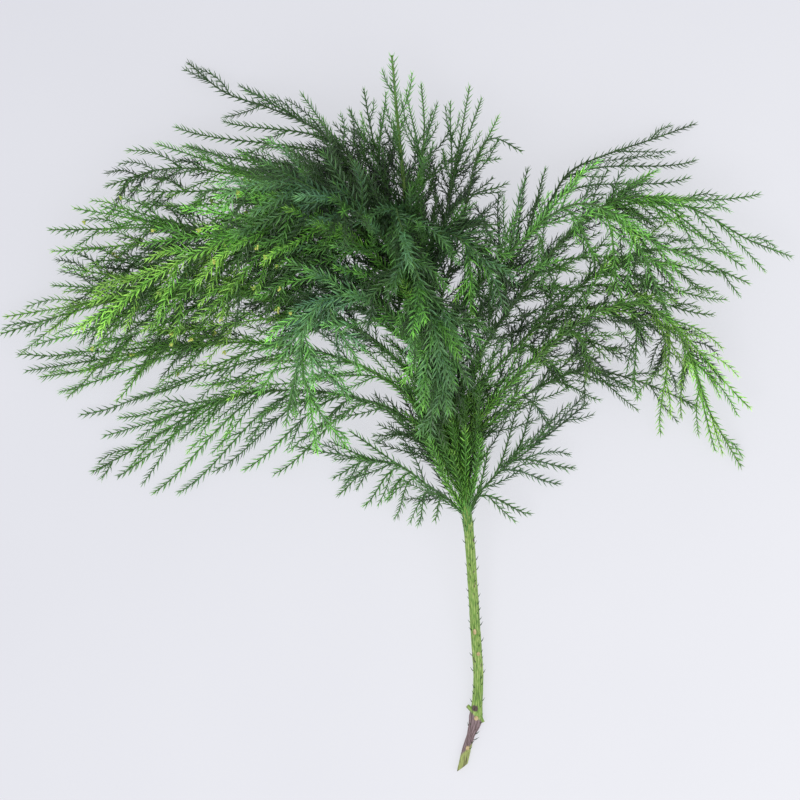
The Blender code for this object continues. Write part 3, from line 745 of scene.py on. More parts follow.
@dataclass
class Budding:
    """Grows the small shoots between the read ones, and gives every shoot its twig and tone.

    In the thickets they stand close and in all directions, with plain shoots below them that are dark with
    painted shade; toward the rim of the crown they are few, long and nearly parallel to what carries them.
    Lengths are in millimetres. A pair of numbers is a least and a greatest value where nothing else is said.

    Attributes:
        leader_twig: Radii of the leader's wood at its base and its tip.
        side_twig: The same of a read side shoot.
        limb_twig: The same of a limb, before its length thickens the base.
        thickening: Length of a limb that adds a millimetre to the radius of its base.
        foot: Leader's points that a limb starts below its own place, and its own points that it skips.
        on_axis: Greatest length of small shoots on an axis, and their spacing.
        on_shoot: The same on a read side shoot.
        last: Share of the parent up to which small shoots grow: on an axis, on a side shoot, and what a
            thicket adds there.
        taper: Room for a small shoot as a share of what is left of its parent, and what is added.
        pressed_effect: Shares by which pressing shortens small shoots, crowds them and closes their angle.
        rim_angles: Angles from the parent at the base and at the tip of a small shoot, at the rim.
        thick_angles: The same in a thicket.
        flatness: How far small shoots turn up and down at the rim, and what a thicket adds.
        hang: How strongly a small shoot hangs down the sheet, and the share of that at its base.
        thick_dark: How much painted shade darkens small shoots low in a thicket, below the light height.
        inner_lean: Thickness that the angles of inner shoots follow.
        bundle: Share of the leader where the bundled shoots start, and the step between them.
        heights: Least and greatest height of a small shoot above the sheet.
    """

    growth: Growth
    seed: int = 11
    leader_twig: Pair = (4.1, 1.0)
    side_twig: Pair = (0.95, 0.5)
    limb_twig: Pair = (0.75, 0.6)
    thickening: float = 420.0
    leader_pressed: float = 260.0
    bundle_pressed: float = 70.0
    limb_pressed: float = 30.0
    foot: tuple[int, int] = (3, 2)
    warmth_spread: float = 0.10
    warmth_limits: Pair = (-0.16, 0.12)
    read_light: Pair = (0.62, 1.20)
    on_axis: Pair = (72.0, 19.0)
    on_shoot: Pair = (52.0, 27.0)
    bare_end: float = 12.0
    last: Triple = (0.95, 0.6, 0.35)
    taper: Pair = (0.75, 6.0)
    least_length: float = 18.0
    pressed_effect: Triple = (0.2, 0.5, 0.55)
    turn_spread: float = 0.25
    spacing_spread: Pair = (0.75, 1.25)
    rim_angles: Pair = (math.radians(36), math.radians(8))
    thick_angles: Pair = (math.radians(58), math.radians(26))
    flatness: Pair = (0.55, 0.45)
    rim_room: float = 1.4
    crowding: float = 1.02
    hang: Pair = (0.4, 0.2)
    thick_dark: float = 0.62
    light_height: float = 135.0
    inner_end: float = 8.0
    inner_spacing: float = 6.0
    inner_from: float = 0.25
    inner_lean: float = 0.65
    inner_turn: float = 1.3
    bundle_stations: int = 20
    bundle_shoots: int = 26
    bundle: Pair = (0.002, 0.005)
    bundle_closeness: float = 0.82
    small_step: float = 5.0
    heights: Pair = (2.2, 202.0)
    random: np.random.Generator = field(init=False)
    shoots: list[Shoot] = field(init=False)

    def __post_init__(self) -> None:
        """Collects every shoot of the leader and the limbs."""
        self.random = np.random.default_rng(self.seed)
        tone = TONES["leader"]
        leader = Shoot("leader", self.growth.leader, Order.AXIS, self.leader_twig, tone.warmth, tone.light,
                       self.leader_pressed)
        read = [leader] + [self.read_shoot(strand) for strand in self.growth.strands]
        grown = [shoot for grow in (self.side_shoots, self.inner_shoots) for parent in read
                 for shoot in grow(parent)]
        grown += self.bundled_shoots(leader)
        self.shoots = read + [shoot for shoot in grown if not self.in_clearing(shoot)]

    def in_clearing(self, shoot: Shoot) -> bool:
        """Tells whether a shoot ends where the crown has a gap."""
        return any(patch_share(shoot.points[-1:], gap)[0] > 0.0 for gap in CLEARINGS)

    def read_shoot(self, strand: Strand) -> Shoot:
        """Turns a strand into a shoot; a limb's axis starts inside the leader, below its own place.

        Args:
            strand: The strand.

        Returns:
            Its shoot, with a tone near that of the limb.
        """
        tone = TONES[strand.limb]
        stray = float(np.clip(self.random.normal(0.0, self.warmth_spread), *self.warmth_limits))
        warmth = tone.warmth + stray
        light = tone.light * self.random.uniform(*self.read_light)
        if strand.parent >= 0:
            return Shoot(strand.limb, strand.points, Order.SIDE, self.side_twig, warmth, light,
                         needle_share=tone.needle)
        below, skipped = self.foot
        foot = self.growth.leader[max(strand.station - below, 0)]
        points = smooth_route(np.vstack((foot, strand.points[skipped:])), self.growth.sample_step)
        twig = (self.limb_twig[0] + strand.length / self.thickening, self.limb_twig[1])
        pressed_length = self.bundle_pressed if strand.station < self.bundle_stations else self.limb_pressed
        return Shoot(strand.limb, points, Order.AXIS, twig, warmth, light, pressed_length, tone.needle)

    def sprout(self, sort: Sprout, limb: str, points: np.ndarray, warmth: float = 0.0, light: float = 1.0,
               needle: float = 1.0) -> Shoot:
        """Makes one small shoot, with small differences of its own.

        Args:
            sort: Its sort.
            limb: Name of its limb.
            points: Its points.
            warmth: Warmth that it starts from.
            light: Brightness that it starts from.
            needle: Factor on the length of its needles.

        Returns:
            The small shoot.
        """
        return Shoot(limb, points, sort.order, sort.twig, warmth + self.random.normal(*sort.warmth),
                     light * self.random.uniform(*sort.light), sort.pressed_length, sort.needle * needle,
                     sort.kind)

    def side_shoots(self, parent: Shoot) -> list[Shoot]:
        """Grows small shoots along a parent shoot, none longer than what is left of it beyond them.

        Args:
            parent: The leader, a limb's axis or a read side shoot.

        Returns:
            The small shoots.
        """
        found: list[Shoot] = []
        length = parent.length
        where = self.bare_end
        turn = self.random.uniform(0.0, math.tau)
        on_axis = parent.order is Order.AXIS
        most, spacing = self.on_axis if on_axis else self.on_shoot
        spacing /= TONES[parent.limb].fullness
        shorter, closer, _ = self.pressed_effect
        while where < length - self.bare_end:
            start, forward = at_share(parent.points, where / length)
            thick = float(thickness(start[None])[0])
            last = length * (self.last[0] if on_axis else self.last[1] + self.last[2] * thick)
            size = min(most, self.taper[0] * (length - where) + self.taper[1])
            size *= self.random.uniform(*SMALL.size)
            pressed = 1.0 - min(1.0, where / (parent.pressed_length + 1.0))
            size *= 1.0 - shorter * pressed
            if size >= self.least_length and where < last:
                points = self.small_route(start, forward, thick, pressed, turn, size)
                # Painted shade: small shoots low in a thicket are darkened.
                depth = 1.0 - min(1.0, start[2] / self.light_height)
                shade = 1.0 - self.thick_dark * thick * depth
                found.append(self.sprout(SMALL, parent.limb, points, parent.warmth, parent.light * shade,
                                         parent.needle_share))
            turn += GOLDEN_ANGLE + self.random.normal(0.0, self.turn_spread)
            close = (self.rim_room - self.crowding * thick) * (1.0 - closer * pressed)
            where += spacing * close * self.random.uniform(*self.spacing_spread)
        return found

    def inner_shoots(self, parent: Shoot) -> list[Shoot]:
        """Grows plain shoots down and aside from a parent, in the thickets only, dark with painted shade.

        Args:
            parent: The leader, a limb's axis or a read side shoot.

        Returns:
            The inner shoots.
        """
        found: list[Shoot] = []
        length = parent.length
        where = self.inner_end
        while where < length - self.inner_end:
            start, forward = at_share(parent.points, where / length)
            thick = float(thickness(start[None])[0])
            if self.random.uniform() < (thick - self.inner_from) / (1.0 - self.inner_from):
                turn = -math.pi / 2 + self.random.uniform(-self.inner_turn, self.inner_turn)
                size = self.random.uniform(*INNER.size)
                points = self.small_route(start, forward, self.inner_lean, 0.0, turn, size)
                found.append(self.sprout(INNER, parent.limb, points))
            where += self.inner_spacing * self.random.uniform(*self.spacing_spread)
        return found

    def bundled_shoots(self, leader: Shoot) -> list[Shoot]:
        """Grows shoots that lie along the foot of the leader, so it reads as a bundle of stems.

        Args:
            leader: The leader.

        Returns:
            The shoots.
        """
        found: list[Shoot] = []
        for number in range(self.bundle_shoots):
            start, forward = at_share(leader.points, self.bundle[0] + self.bundle[1] * number)
            size = self.random.uniform(*BUNDLED.size)
            turn = number * GOLDEN_ANGLE
            points = self.small_route(start, forward, 1.0, self.bundle_closeness, turn, size)
            found.append(self.sprout(BUNDLED, leader.limb, points))
        return found

    def small_route(self, start: np.ndarray, forward: np.ndarray, thick: float, pressed: float,
                    turn: float, size: float) -> np.ndarray:
        """Bends a small shoot out of its parent and forward along it.

        Args:
            start: Its place on the parent.
            forward: The parent's direction there.
            thick: 1 in a thicket, 0 at the crown's rim.
            pressed: 1 where the small shoot lies along the parent, 0 where it leaves it freely.
            turn: Turn about the parent.
            size: Its length.

        Returns:
            The small shoot's points.
        """
        side = unit(np.cross(forward, (0.0, 0.0, 1.0)) + 1e-6)
        up = np.cross(side, forward)
        flatness = self.flatness[0] + self.flatness[1] * thick
        outward = unit(math.cos(turn) * side + flatness * math.sin(turn) * up)
        steps = max(FEWEST_POINTS, round(size / self.small_step))
        first, last = ((rim + (inner - rim) * thick) * (1.0 - self.pressed_effect[2] * pressed)
                       for rim, inner in zip(self.rim_angles, self.thick_angles))
        angles = np.linspace(first, last, steps)
        directions = np.cos(angles)[:, None] * forward + np.sin(angles)[:, None] * outward
        hang = self.hang[0] * (1.0 - max(forward[1], 0.0)) * (1.0 - pressed)
        directions[:, 1] -= hang * np.linspace(self.hang[1], 1.0, steps)
        places = np.vstack((np.zeros(3), np.cumsum(unit_rows(directions), axis=0)))
        points = start + places * (size / steps)
        points[:, 2] = np.clip(points[:, 2], *self.heights)
        return points


@dataclass
class Needle:
    """One awl-shaped needle, bent inward, as a small mesh along its own axes.

    Lengths are shares of the needle's length: the first axis runs along the twig, the second away from
    it, and the third across.
    """

    width: float = 0.15
    plain: bool = False
    open_angle: float = math.radians(50)
    tip_angle: float = math.radians(26)
    belly: float = 0.38
    belly_width: float = 1.75
    bend_points: int = 21
    corners: np.ndarray = field(init=False)
    faces: np.ndarray = field(init=False)
    along: np.ndarray = field(init=False)

    def __post_init__(self) -> None:
        """Models the needle and keeps it as arrays."""
        shape = bmesh.new()
        bmesh.ops.create_cone(shape, cap_ends=True, cap_tris=False, segments=3, radius1=0.5,
                              radius2=0.0, depth=1.0)
        bmesh.ops.remove_doubles(shape, verts=shape.verts, dist=1e-5)
        bmesh.ops.translate(shape, verts=shape.verts, vec=(0.0, 0.0, 0.5))
        if not self.plain:
            bmesh.ops.subdivide_edges(shape, edges=long_edges(shape), cuts=1)
        bmesh.ops.triangulate(shape, faces=shape.faces)
        bmesh.ops.recalc_face_normals(shape, faces=shape.faces)
        shape.verts.index_update()
        self.along = np.array([vert.co.z for vert in shape.verts])
        middle = np.isclose(self.along, 0.5)
        self.along = np.where(middle, self.belly, self.along)
        cross = np.array([(vert.co.x, vert.co.y) for vert in shape.verts])
        cross[middle] *= self.belly_width
        cross *= self.width
        fine = np.linspace(0.0, 1.0, self.bend_points)
        angle = self.open_angle + (self.tip_angle - self.open_angle) * fine
        steps = np.diff(fine, prepend=0.0)
        run = np.cumsum(np.cos(angle) * steps)
        rise = np.cumsum(np.sin(angle) * steps)
        here = np.interp(self.along, fine, angle)
        self.corners = np.stack((
            np.interp(self.along, fine, run) - np.sin(here) * cross[:, 1],
            np.interp(self.along, fine, rise) + np.cos(here) * cross[:, 1],
            cross[:, 0],
        ), axis=1)
        self.faces = np.array([[vert.index for vert in face.verts] for face in shape.faces])
        shape.free()


def long_edges(shape: bmesh.types.BMesh) -> list[bmesh.types.BMEdge]:
    """Returns the edges of a cone or tube that run from one of its ends to the other."""
    return [edge for edge in shape.edges if abs(edge.verts[0].co.z - edge.verts[1].co.z) > 0.5]


def carried_frames(points: np.ndarray) -> tuple[np.ndarray, np.ndarray, np.ndarray]:
    """Carries a frame along a row of points without twisting it.

    Args:
        points: Places along a shoot.

    Returns:
        Directions along the shoot, and two directions across it, at each point.
    """
    along = unit_rows(np.gradient(points, axis=0))
    across = np.empty_like(along)
    across[0] = unit(np.cross(along[0], ASIDE))
    for k in range(1, len(points)):
        across[k] = unit(across[k - 1] - along[k] * np.dot(across[k - 1], along[k]))
    return along, across, np.cross(along, across)


class Signal:
    """One number socket of a node tree; Python's operators on it add Math nodes."""

    def __init__(self, graph: Graph, socket: bpy.types.NodeSocket) -> None:
        """Keeps the socket and the tree that it belongs to."""
        self.graph = graph
        self.socket = socket

    def combine(self, operation: str, other: Signal | float) -> Signal:
        """Adds a Math node that takes this signal, then another signal or a number."""
        node = self.graph.add("ShaderNodeMath", {"operation": operation}, {0: self, 1: other})
        return Signal(self.graph, node.outputs[0])

    def __add__(self, other: Signal | float) -> Signal:
        """Adds."""
        return self.combine("ADD", other)

    __radd__ = __add__

    def __sub__(self, other: Signal | float) -> Signal:
        """Subtracts."""
        return self.combine("SUBTRACT", other)

    def __mul__(self, other: Signal | float) -> Signal:
        """Multiplies."""
        return self.combine("MULTIPLY", other)

    def between(self, low: float, high: float) -> Signal:
        """Rises smoothly between two values, or falls where the first is the greater.

        Args:
            low: Value at which it is 0.
            high: Value at which it is 1.

        Returns:
            The new signal.
        """
        node = self.graph.add("ShaderNodeMapRange", {"interpolation_type": "SMOOTHSTEP"},
                              {"Value": self, "From Min": low, "From Max": high})
        return Signal(self.graph, node.outputs["Result"])


class Graph:
    """Node tree of one material, built around its Principled BSDF."""

    def __init__(self, name: str) -> None:
        """Makes the material."""
        self.material = bpy.data.materials.new(name)
        self.material.use_nodes = True
        self.tree = self.material.node_tree
        self.shader = self.tree.nodes["Principled BSDF"]

    def add(self, kind: str, settings: dict | None = None, inputs: dict | None = None) -> bpy.types.Node:
        """Adds one node.

        Args:
            kind: The node's type.
            settings: Values set on the node itself, such as a Math node's operation.
            inputs: Values or links of its sockets, by name or number.

        Returns:
            The new node.
        """
        node = self.tree.nodes.new(kind)
        for key, value in (settings or {}).items():
            setattr(node, key, value)
        for key, value in (inputs or {}).items():
            self.feed(node.inputs[key], value)
        return node

    def feed(self, target: bpy.types.NodeSocket, value: object) -> None:
        """Links a signal or a socket to an input, or sets its value.

        Args:
            target: The input.
            value: The signal, the socket or the value.
        """
        if isinstance(value, Signal):
            self.tree.links.new(value.socket, target)
        elif isinstance(value, bpy.types.NodeSocket):
            self.tree.links.new(value, target)
        else:
            target.default_value = value

    def attribute(self, name: str) -> Signal:
        """Reads a number that the mesh keeps at each corner."""
        node = self.add("ShaderNodeAttribute", {"attribute_name": name})
        return Signal(self, node.outputs["Fac"])

    def place(self, axis: str) -> Signal:
        """Reads one of the Object coordinates.

        Args:
            axis: X, Y or Z.

        Returns:
            The coordinate, in metres.
        """
        coordinates = self.add("ShaderNodeTexCoord")
        split = self.add("ShaderNodeSeparateXYZ", None, {0: coordinates.outputs["Object"]})
        return Signal(self, split.outputs[axis])

    def noise(self, scale: float, detail: float = 2.0,
              stretch: Triple = (1.0, 1.0, 1.0)) -> Signal:
        """Reads noise on Object coordinates.

        Args:
            scale: Waves per metre.
            detail: Finer layers.
            stretch: Factors on the coordinates.

        Returns:
            The noise, from 0 to 1.
        """
        coordinates = self.add("ShaderNodeTexCoord")
        mapping = self.add("ShaderNodeMapping", None, {"Vector": coordinates.outputs["Object"],
                                                       "Scale": stretch})
        node = self.add("ShaderNodeTexNoise", None, {"Vector": mapping.outputs[0], "Scale": scale,
                                                     "Detail": detail})
        return Signal(self, node.outputs[0])

    def ramp(self, signal: Signal, stops: Iterable[tuple[float, Triple]]) -> bpy.types.NodeSocket:
        """Turns a signal into colour.

        Args:
            signal: The signal.
            stops: Places on the ramp from low to high, each with its colour.

        Returns:
            The colour.
        """
        node = self.add("ShaderNodeValToRGB", None, {0: signal})
        stops = list(stops)
        while len(node.color_ramp.elements) < len(stops):
            node.color_ramp.elements.new(0.5)
        for element, (where, colour) in zip(node.color_ramp.elements, stops):
            element.position = where
            element.color = (*colour, 1.0)
        return node.outputs[0]

    def mix(self, share: Signal, low: object, high: object) -> bpy.types.NodeSocket:
        """Mixes two colours by a share."""
        node = self.add("ShaderNodeMix", {"data_type": "RGBA"}, {0: share, 6: low, 7: high})
        return node.outputs[2]

    def scaled(self, colour: bpy.types.NodeSocket, factor: Signal) -> bpy.types.NodeSocket:
        """Makes a colour brighter or darker."""
        node = self.add("ShaderNodeVectorMath", {"operation": "SCALE"}, {0: colour, 3: factor})
        return node.outputs[0]

    def finish(self, colour: bpy.types.NodeSocket, roughness: Signal, height: Signal,
               distance: float) -> bpy.types.Material:
        """Feeds the shader.

        Args:
            colour: Base colour.
            roughness: Roughness.
            height: Relief.
            distance: Depth of the relief, in metres.

        Returns:
            The finished material.
        """
        self.feed(self.shader.inputs["Base Color"], colour)
        self.feed(self.shader.inputs["Roughness"], roughness)
        bump = self.add("ShaderNodeBump", None, {"Height": height, "Distance": distance})
        self.feed(self.shader.inputs["Normal"], bump.outputs[0])
        return self.material


# In every finish a scale is in waves per metre, and the relief is in metres.
@dataclass(frozen=True)
class NeedleFinish:
    """Living needles: blue green to yellow green by warmth, paler toward the tip, and lighter or darker by
    the light number, which carries painted light and painted shade.
    """

    blue: Triple = (0.085, 0.195, 0.120)
    middle: Triple = (0.066, 0.162, 0.048)
    bright: Triple = (0.100, 0.300, 0.036)
    yellow: Triple = (0.220, 0.430, 0.062)
    patch_scale: float = 38.0
    grain_scale: float = 700.0
    relief: float = 0.00015

    def make(self) -> bpy.types.Material:
        """Makes the material.

        Returns:
            The material.
        """
        graph = Graph("living_needles")
        warmth = graph.attribute("warmth")
        light = graph.attribute("light")
        along = graph.attribute("along")
        patches = graph.noise(self.patch_scale)
        grain = graph.noise(self.grain_scale, 3.0)
        tone = warmth + (patches - 0.5) * 0.35 + along * 0.10
        colour = graph.ramp(tone, ((0.0, self.blue), (0.42, self.middle), (0.74, self.bright),
                                   (1.0, self.yellow)))
        # The light number brings painted light and painted shade into the needles' colour.
        shade = light * (0.72 + along * 0.42) * (0.82 + grain * 0.36)
        return graph.finish(graph.scaled(colour, shade), 0.30 + grain * 0.22, grain, self.relief)


@dataclass(frozen=True)
class TwigFinish:
    """Twigs, from thin and olive to thick and as green as the bark of the bare stem; darkened by their limb's
    light number, which carries painted light and painted shade.
    """

    thin: Triple = (0.070, 0.190, 0.030)
    olive: Triple = (0.060, 0.125, 0.028)
    thick: Triple = (0.130, 0.235, 0.036)
    grain_scale: float = 260.0
    relief: float = 0.0004

    def make(self) -> bpy.types.Material:
        """Makes the material.

        Returns:
            The material.
        """
        graph = Graph("green_twig")
        age = graph.attribute("age")
        grain = graph.noise(self.grain_scale, 4.0)
        colour = graph.ramp(age + (grain - 0.5) * 0.5, ((0.1, self.thin), (0.5, self.olive),
                                                        (0.9, self.thick)))
        # The limb's light number brings painted light and painted shade into the twigs' colour.
        shade = graph.attribute("light") * 0.8 + 0.2
        return graph.finish(graph.scaled(colour, shade), 0.5 + grain * 0.2, grain, self.relief)


class Slot(Enum):
    """Material slots of the branch."""

    NEEDLES = "needles"
    BARK = "bark"


def add_object(name: str, data: bpy.types.ID) -> bpy.types.Object:
    """Adds an object to the scene.

    Args:
        name: Its name.
        data: Its mesh, lamp or camera.

    Returns:
        The object.
    """
    item = bpy.data.objects.new(name, data)
    bpy.context.scene.collection.objects.link(item)
    return item


def finished_mesh(name: str, shape: bmesh.types.BMesh, *finishes: bpy.types.Material) -> bpy.types.Mesh:
    """Turns a bmesh into a mesh and frees it.

    Args:
        name: Name of the mesh.
        shape: The modelled shape.
        finishes: Materials, in the order of the faces' indices.

    Returns:
        The mesh.
    """
    mesh = bpy.data.meshes.new(name)
    shape.to_mesh(mesh)
    shape.free()
    for finish in finishes:
        mesh.materials.append(finish)
    return mesh


def add_piece(mesh: bpy.types.Mesh, replaced: str | None = None) -> bpy.types.Object:
    """Adds a piece that rides on the branch, and reports it.

    Args:
        mesh: Its mesh, which has its name.
        replaced: Name of the CAD node that it stands for, if any.

    Returns:
        The piece.
    """
    piece = add_object(mesh.name, mesh)
    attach(piece, "root")
    if replaced:
        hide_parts(replaced)
    LOG.info("%s: %d triangles", piece.name, len(mesh.loops) - 2 * len(mesh.polygons))
    return piece


def keep_numbers(mesh: bpy.types.Mesh, **numbers: np.ndarray) -> None:
    """Keeps numbers at a mesh's corners, for its finish to read.

    Args:
        mesh: The mesh.
        numbers: A row of numbers under each name.
    """
    for label, values in numbers.items():
        layer = mesh.attributes.new(label, "FLOAT", "POINT")
        layer.data.foreach_set("value", values.astype(np.float32))


def rising(low: float, share: np.ndarray) -> np.ndarray:
    """Returns what goes evenly from a low value at share 0 to 1 at share 1."""
    return low + (1.0 - low) * share


# How the twigs of each order are made, as (bevel resolution, millimetres between rings, share of age).
TWIGS: dict[Order, tuple[int, float, float]] = {
    Order.AXIS: (1, 8.0, 0.45), Order.SIDE: (0, 9.0, 0.2), Order.SMALL: (0, 13.0, 0.1),
    Order.INNER: (0, 25.0, 0.1),
}
LEADER_AGE = 0.9


@dataclass
class Foliage:
    """Dresses the shoots of one limb with twigs and needles, joined as one piece.

    Lengths are in millimetres. A spread is the standard deviation among needles.

    Attributes:
        spacing: Length of thin twig for each needle.
        place_spread: Greatest shift of a needle along the twig.
        thin_twig: Radius of twig above which the ranks blur.
        rank_spreads: Spread of the turn on thin twigs, and what is added on thick ones.
        seat: Distance of the needle's base from the axis, as a share of the twig's radius.
        tip_opening: Share to which needles close at the tip of a shoot.
        pressed_opening: Share to which pressed needles open.
        low_light: Painted light by height: light of needles on the sheet, and what is added at the light
            height, so that low needles are shaded and high ones lit.
        sleeve_points: Points of the bare stem that carry pressed needles, up to the leader.
    """

    budding: Budding
    needles: dict[Kind, Needle]
    needle_finish: bpy.types.Material
    twig_finish: bpy.types.Material
    seed: int = 29
    spacing: float = 1.5
    place_spread: float = 0.3
    fine_points: int = 200
    needle_length: float = 8.8
    pressed_length: float = 12.0
    rank_angle: float = math.radians(144.8)
    thin_twig: float = 1.2
    rank_spreads: Pair = (0.13, 0.5)
    seat: float = 0.88
    tip_stretch: float = 6.0
    tip_crowding: float = 0.6
    tip_opening: float = 0.50
    pressed_opening: float = 0.32
    taper_stretch: float = 14.0
    tip_size: float = 0.74
    base_stretch: float = 10.0
    base_size: float = 0.80
    size_spread: float = 0.09
    opening_spread: float = 0.10
    width_spread: float = 0.08
    warmth_spread: float = 0.06
    light_spread: float = 0.16
    light_limits: Pair = (0.4, 1.8)
    low_light: Pair = (0.66, 0.60)
    light_height: float = 150.0
    most_height: float = 1.3
    tip_light: float = 1.25
    tip_warmth: float = 0.14
    rim_light: float = 0.80
    floor: float = 0.25
    sleeve_points: int = 52

    def needle_places(self, shoot: Shoot, random: np.random.Generator) -> np.ndarray:
        """Spaces needles along a shoot, closer where the twig is thick and at its tip.

        Args:
            shoot: The shoot.
            random: Source of small differences.

        Returns:
            The needles' distances from the shoot's base.
        """
        length = shoot.length
        fine = np.linspace(0.0, length, self.fine_points)
        radius = np.interp(fine, (0.0, length), shoot.twig)
        crowd = (1.0 + np.clip(radius - 1.0, 0.0, None)) / (self.spacing * shoot.sparse)
        crowd *= 1.0 + self.tip_crowding * np.clip(1.0 - (length - fine) / self.tip_stretch, 0.0, 1.0)
        rank = np.concatenate(((0.0,), np.cumsum(0.5 * (crowd[1:] + crowd[:-1]) * np.diff(fine))))
        where = np.interp(np.arange(0.5, rank[-1], 1.0), rank, fine)
        return np.clip(where + random.uniform(-self.place_spread, self.place_spread, len(where)), 0.0, length)

    def clothe(self, shoot: Shoot, random: np.random.Generator) -> tuple[np.ndarray, ...]:
        """Sets needles in five slowly turning ranks along a shoot.

        Args:
            shoot: The shoot.
            random: Source of small differences.

        Returns:
            The needles' corners in millimetres; warmth, light and share along the needle there; and
            their faces, numbered from the shoot's first corner.
        """
        length = shoot.length
        along, across, other = carried_frames(shoot.points)
        where = self.needle_places(shoot, random)
        own = np.linspace(0.0, length, len(shoot.points))
        count = len(where)

        def read(rows: np.ndarray) -> np.ndarray:
            """Reads rows of three at the needles' places."""
            return np.stack([np.interp(where, own, rows[:, k]) for k in range(3)], axis=1)

        twig = np.interp(where, (0.0, length), shoot.twig)
        turn = np.arange(count) * self.rank_angle + random.uniform(0.0, math.tau)
        blur = self.rank_spreads[0] + self.rank_spreads[1] * np.clip(twig - self.thin_twig, 0.0, 1.0)
        turn += random.normal(0.0, 1.0, count) * blur
        tangent = unit_rows(read(along))
        away = np.cos(turn)[:, None] * read(across) + np.sin(turn)[:, None] * read(other)
        away = unit_rows(away - tangent * (away * tangent).sum(axis=1)[:, None])
        side = np.cross(tangent, away)
        near_tip = np.clip((length - where) / self.tip_stretch, 0.0, 1.0)
        from_tip = np.clip((length - where) / self.taper_stretch, 0.0, 1.0)
        from_base = np.clip(where / self.base_stretch, 0.0, 1.0)
        free = np.clip(where / (shoot.pressed_length + 0.1), 0.0, 1.0)
        size = self.pressed_length + (self.needle_length - self.pressed_length) * free
        size *= rising(self.tip_size, from_tip) * rising(self.base_size, from_base)
        size *= random.normal(1.0, self.size_spread, count) * shoot.needle_share
        opening = rising(self.tip_opening, near_tip) * rising(self.pressed_opening, free)
        opening *= random.normal(1.0, self.opening_spread, count)
        base = read(shoot.points) + away * (self.seat * twig)[:, None]
        width = random.normal(1.0, self.width_spread, count)
        needle = self.needles[shoot.kind]
        corners = base[:, None, :]
        parts = (size, tangent), (size * opening, away), (size * width, side)
        for (stretch, direction), shares in zip(parts, needle.corners.T):
            corners = corners + stretch[:, None, None] * shares[None, :, None] * direction[:, None, :]
        corners[..., 2] = np.maximum(corners[..., 2], self.floor)
        warmth = shoot.warmth + random.normal(0.0, self.warmth_spread, count)
        warmth += self.tip_warmth * (1.0 - from_tip)
        light = shoot.light * random.normal(1.0, self.light_spread, count).clip(*self.light_limits)
        # Painted shade near the sheet and painted light higher up; shoot tips are also paler.
        height = np.clip(base[:, 2] / self.light_height, 0.0, self.most_height)
        light *= (self.low_light[0] + self.low_light[1] * height) * rising(self.tip_light, from_tip)
        # Painted light: needles where the crown is thin, at its rim, are brighter.
        light *= 1.0 + self.rim_light * (1.0 - thickness(base))
        # Painted light and painted shade in patches of the crown, each with a shift of hue.
        for patch in PAINTED_LIGHT_AND_SHADE_PATCHES:
            share = patch_share(base, patch, PAINTED_LIGHT_STEEPNESS)
            warmth += patch[4] * share
            light *= 1.0 + patch[5] * share
        per_needle = len(needle.corners)
        faces = (needle.faces[None] + per_needle * np.arange(count)[:, None, None]).reshape(-1, 3)
        return (corners.reshape(-1, 3), np.repeat(warmth, per_needle), np.repeat(light, per_needle),
                np.tile(needle.along, count), faces)

    def needle_mesh(self, name: str, shoots: list[Shoot]) -> bpy.types.Mesh:
        """Joins the needles of some shoots.

        Args:
            name: Name of the mesh.
            shoots: The shoots.

        Returns:
            One mesh with its finish and the numbers that the finish reads.
        """
        random = np.random.default_rng(self.seed + len(name) + len(shoots))
        rows = [self.clothe(shoot, random) for shoot in shoots]
        firsts = np.cumsum([0] + [len(row[0]) for row in rows[:-1]])
        corners, warmth, light, share = (np.concatenate(part) for part in list(zip(*rows))[:4])
        faces = np.concatenate([row[4] + first for row, first in zip(rows, firsts)])
        mesh = bpy.data.meshes.new(name)
        mesh.from_pydata(corners * MM, [], faces)
        keep_numbers(mesh, warmth=warmth, light=light, along=share)
        mesh.materials.append(self.needle_finish)
        return mesh

    def twig_mesh(self, name: str, shoots: list[Shoot], age: float) -> bpy.types.Mesh:
        """Makes the tapered twigs of some shoots.

        Args:
            name: Name of the mesh.
            shoots: The shoots, all of one order.
            age: Share of age for the finish.

        Returns:
            One mesh, with the numbers that its finish reads and its second material slot chosen.
        """
        resolution, step, _ = TWIGS[shoots[0].order]
        curve = bpy.data.curves.new(name, "CURVE")
        curve.dimensions = "3D"
        curve.bevel_depth = 1.0
        curve.bevel_resolution = resolution
        curve.use_fill_caps = True
        for shoot in shoots:
            points = resample(shoot.points, max(3, round(shoot.length / step) + 1))
            spline = curve.splines.new("POLY")
            spline.points.add(len(points) - 1)
            for point, spot, radius in zip(spline.points, points, np.linspace(*shoot.twig, len(points))):
                point.co = (*(spot * MM), 1.0)
                point.radius = radius * MM
        draft = bpy.data.objects.new(name, curve)
        mesh = bpy.data.meshes.new_from_object(draft)
        bpy.data.objects.remove(draft)
        bpy.data.curves.remove(curve)
        shape = bmesh.new()
        shape.from_mesh(mesh)
        bmesh.ops.remove_doubles(shape, verts=shape.verts, dist=0.002 * MM)
        bmesh.ops.recalc_face_normals(shape, faces=shape.faces)
        shape.to_mesh(mesh)
        shape.free()
        every = np.ones(len(mesh.vertices))
        keep_numbers(mesh, age=age * every, light=float(np.mean([shoot.light for shoot in shoots])) * every)
        mesh.polygons.foreach_set("material_index", np.ones(len(mesh.polygons), dtype=np.int32))
        return mesh

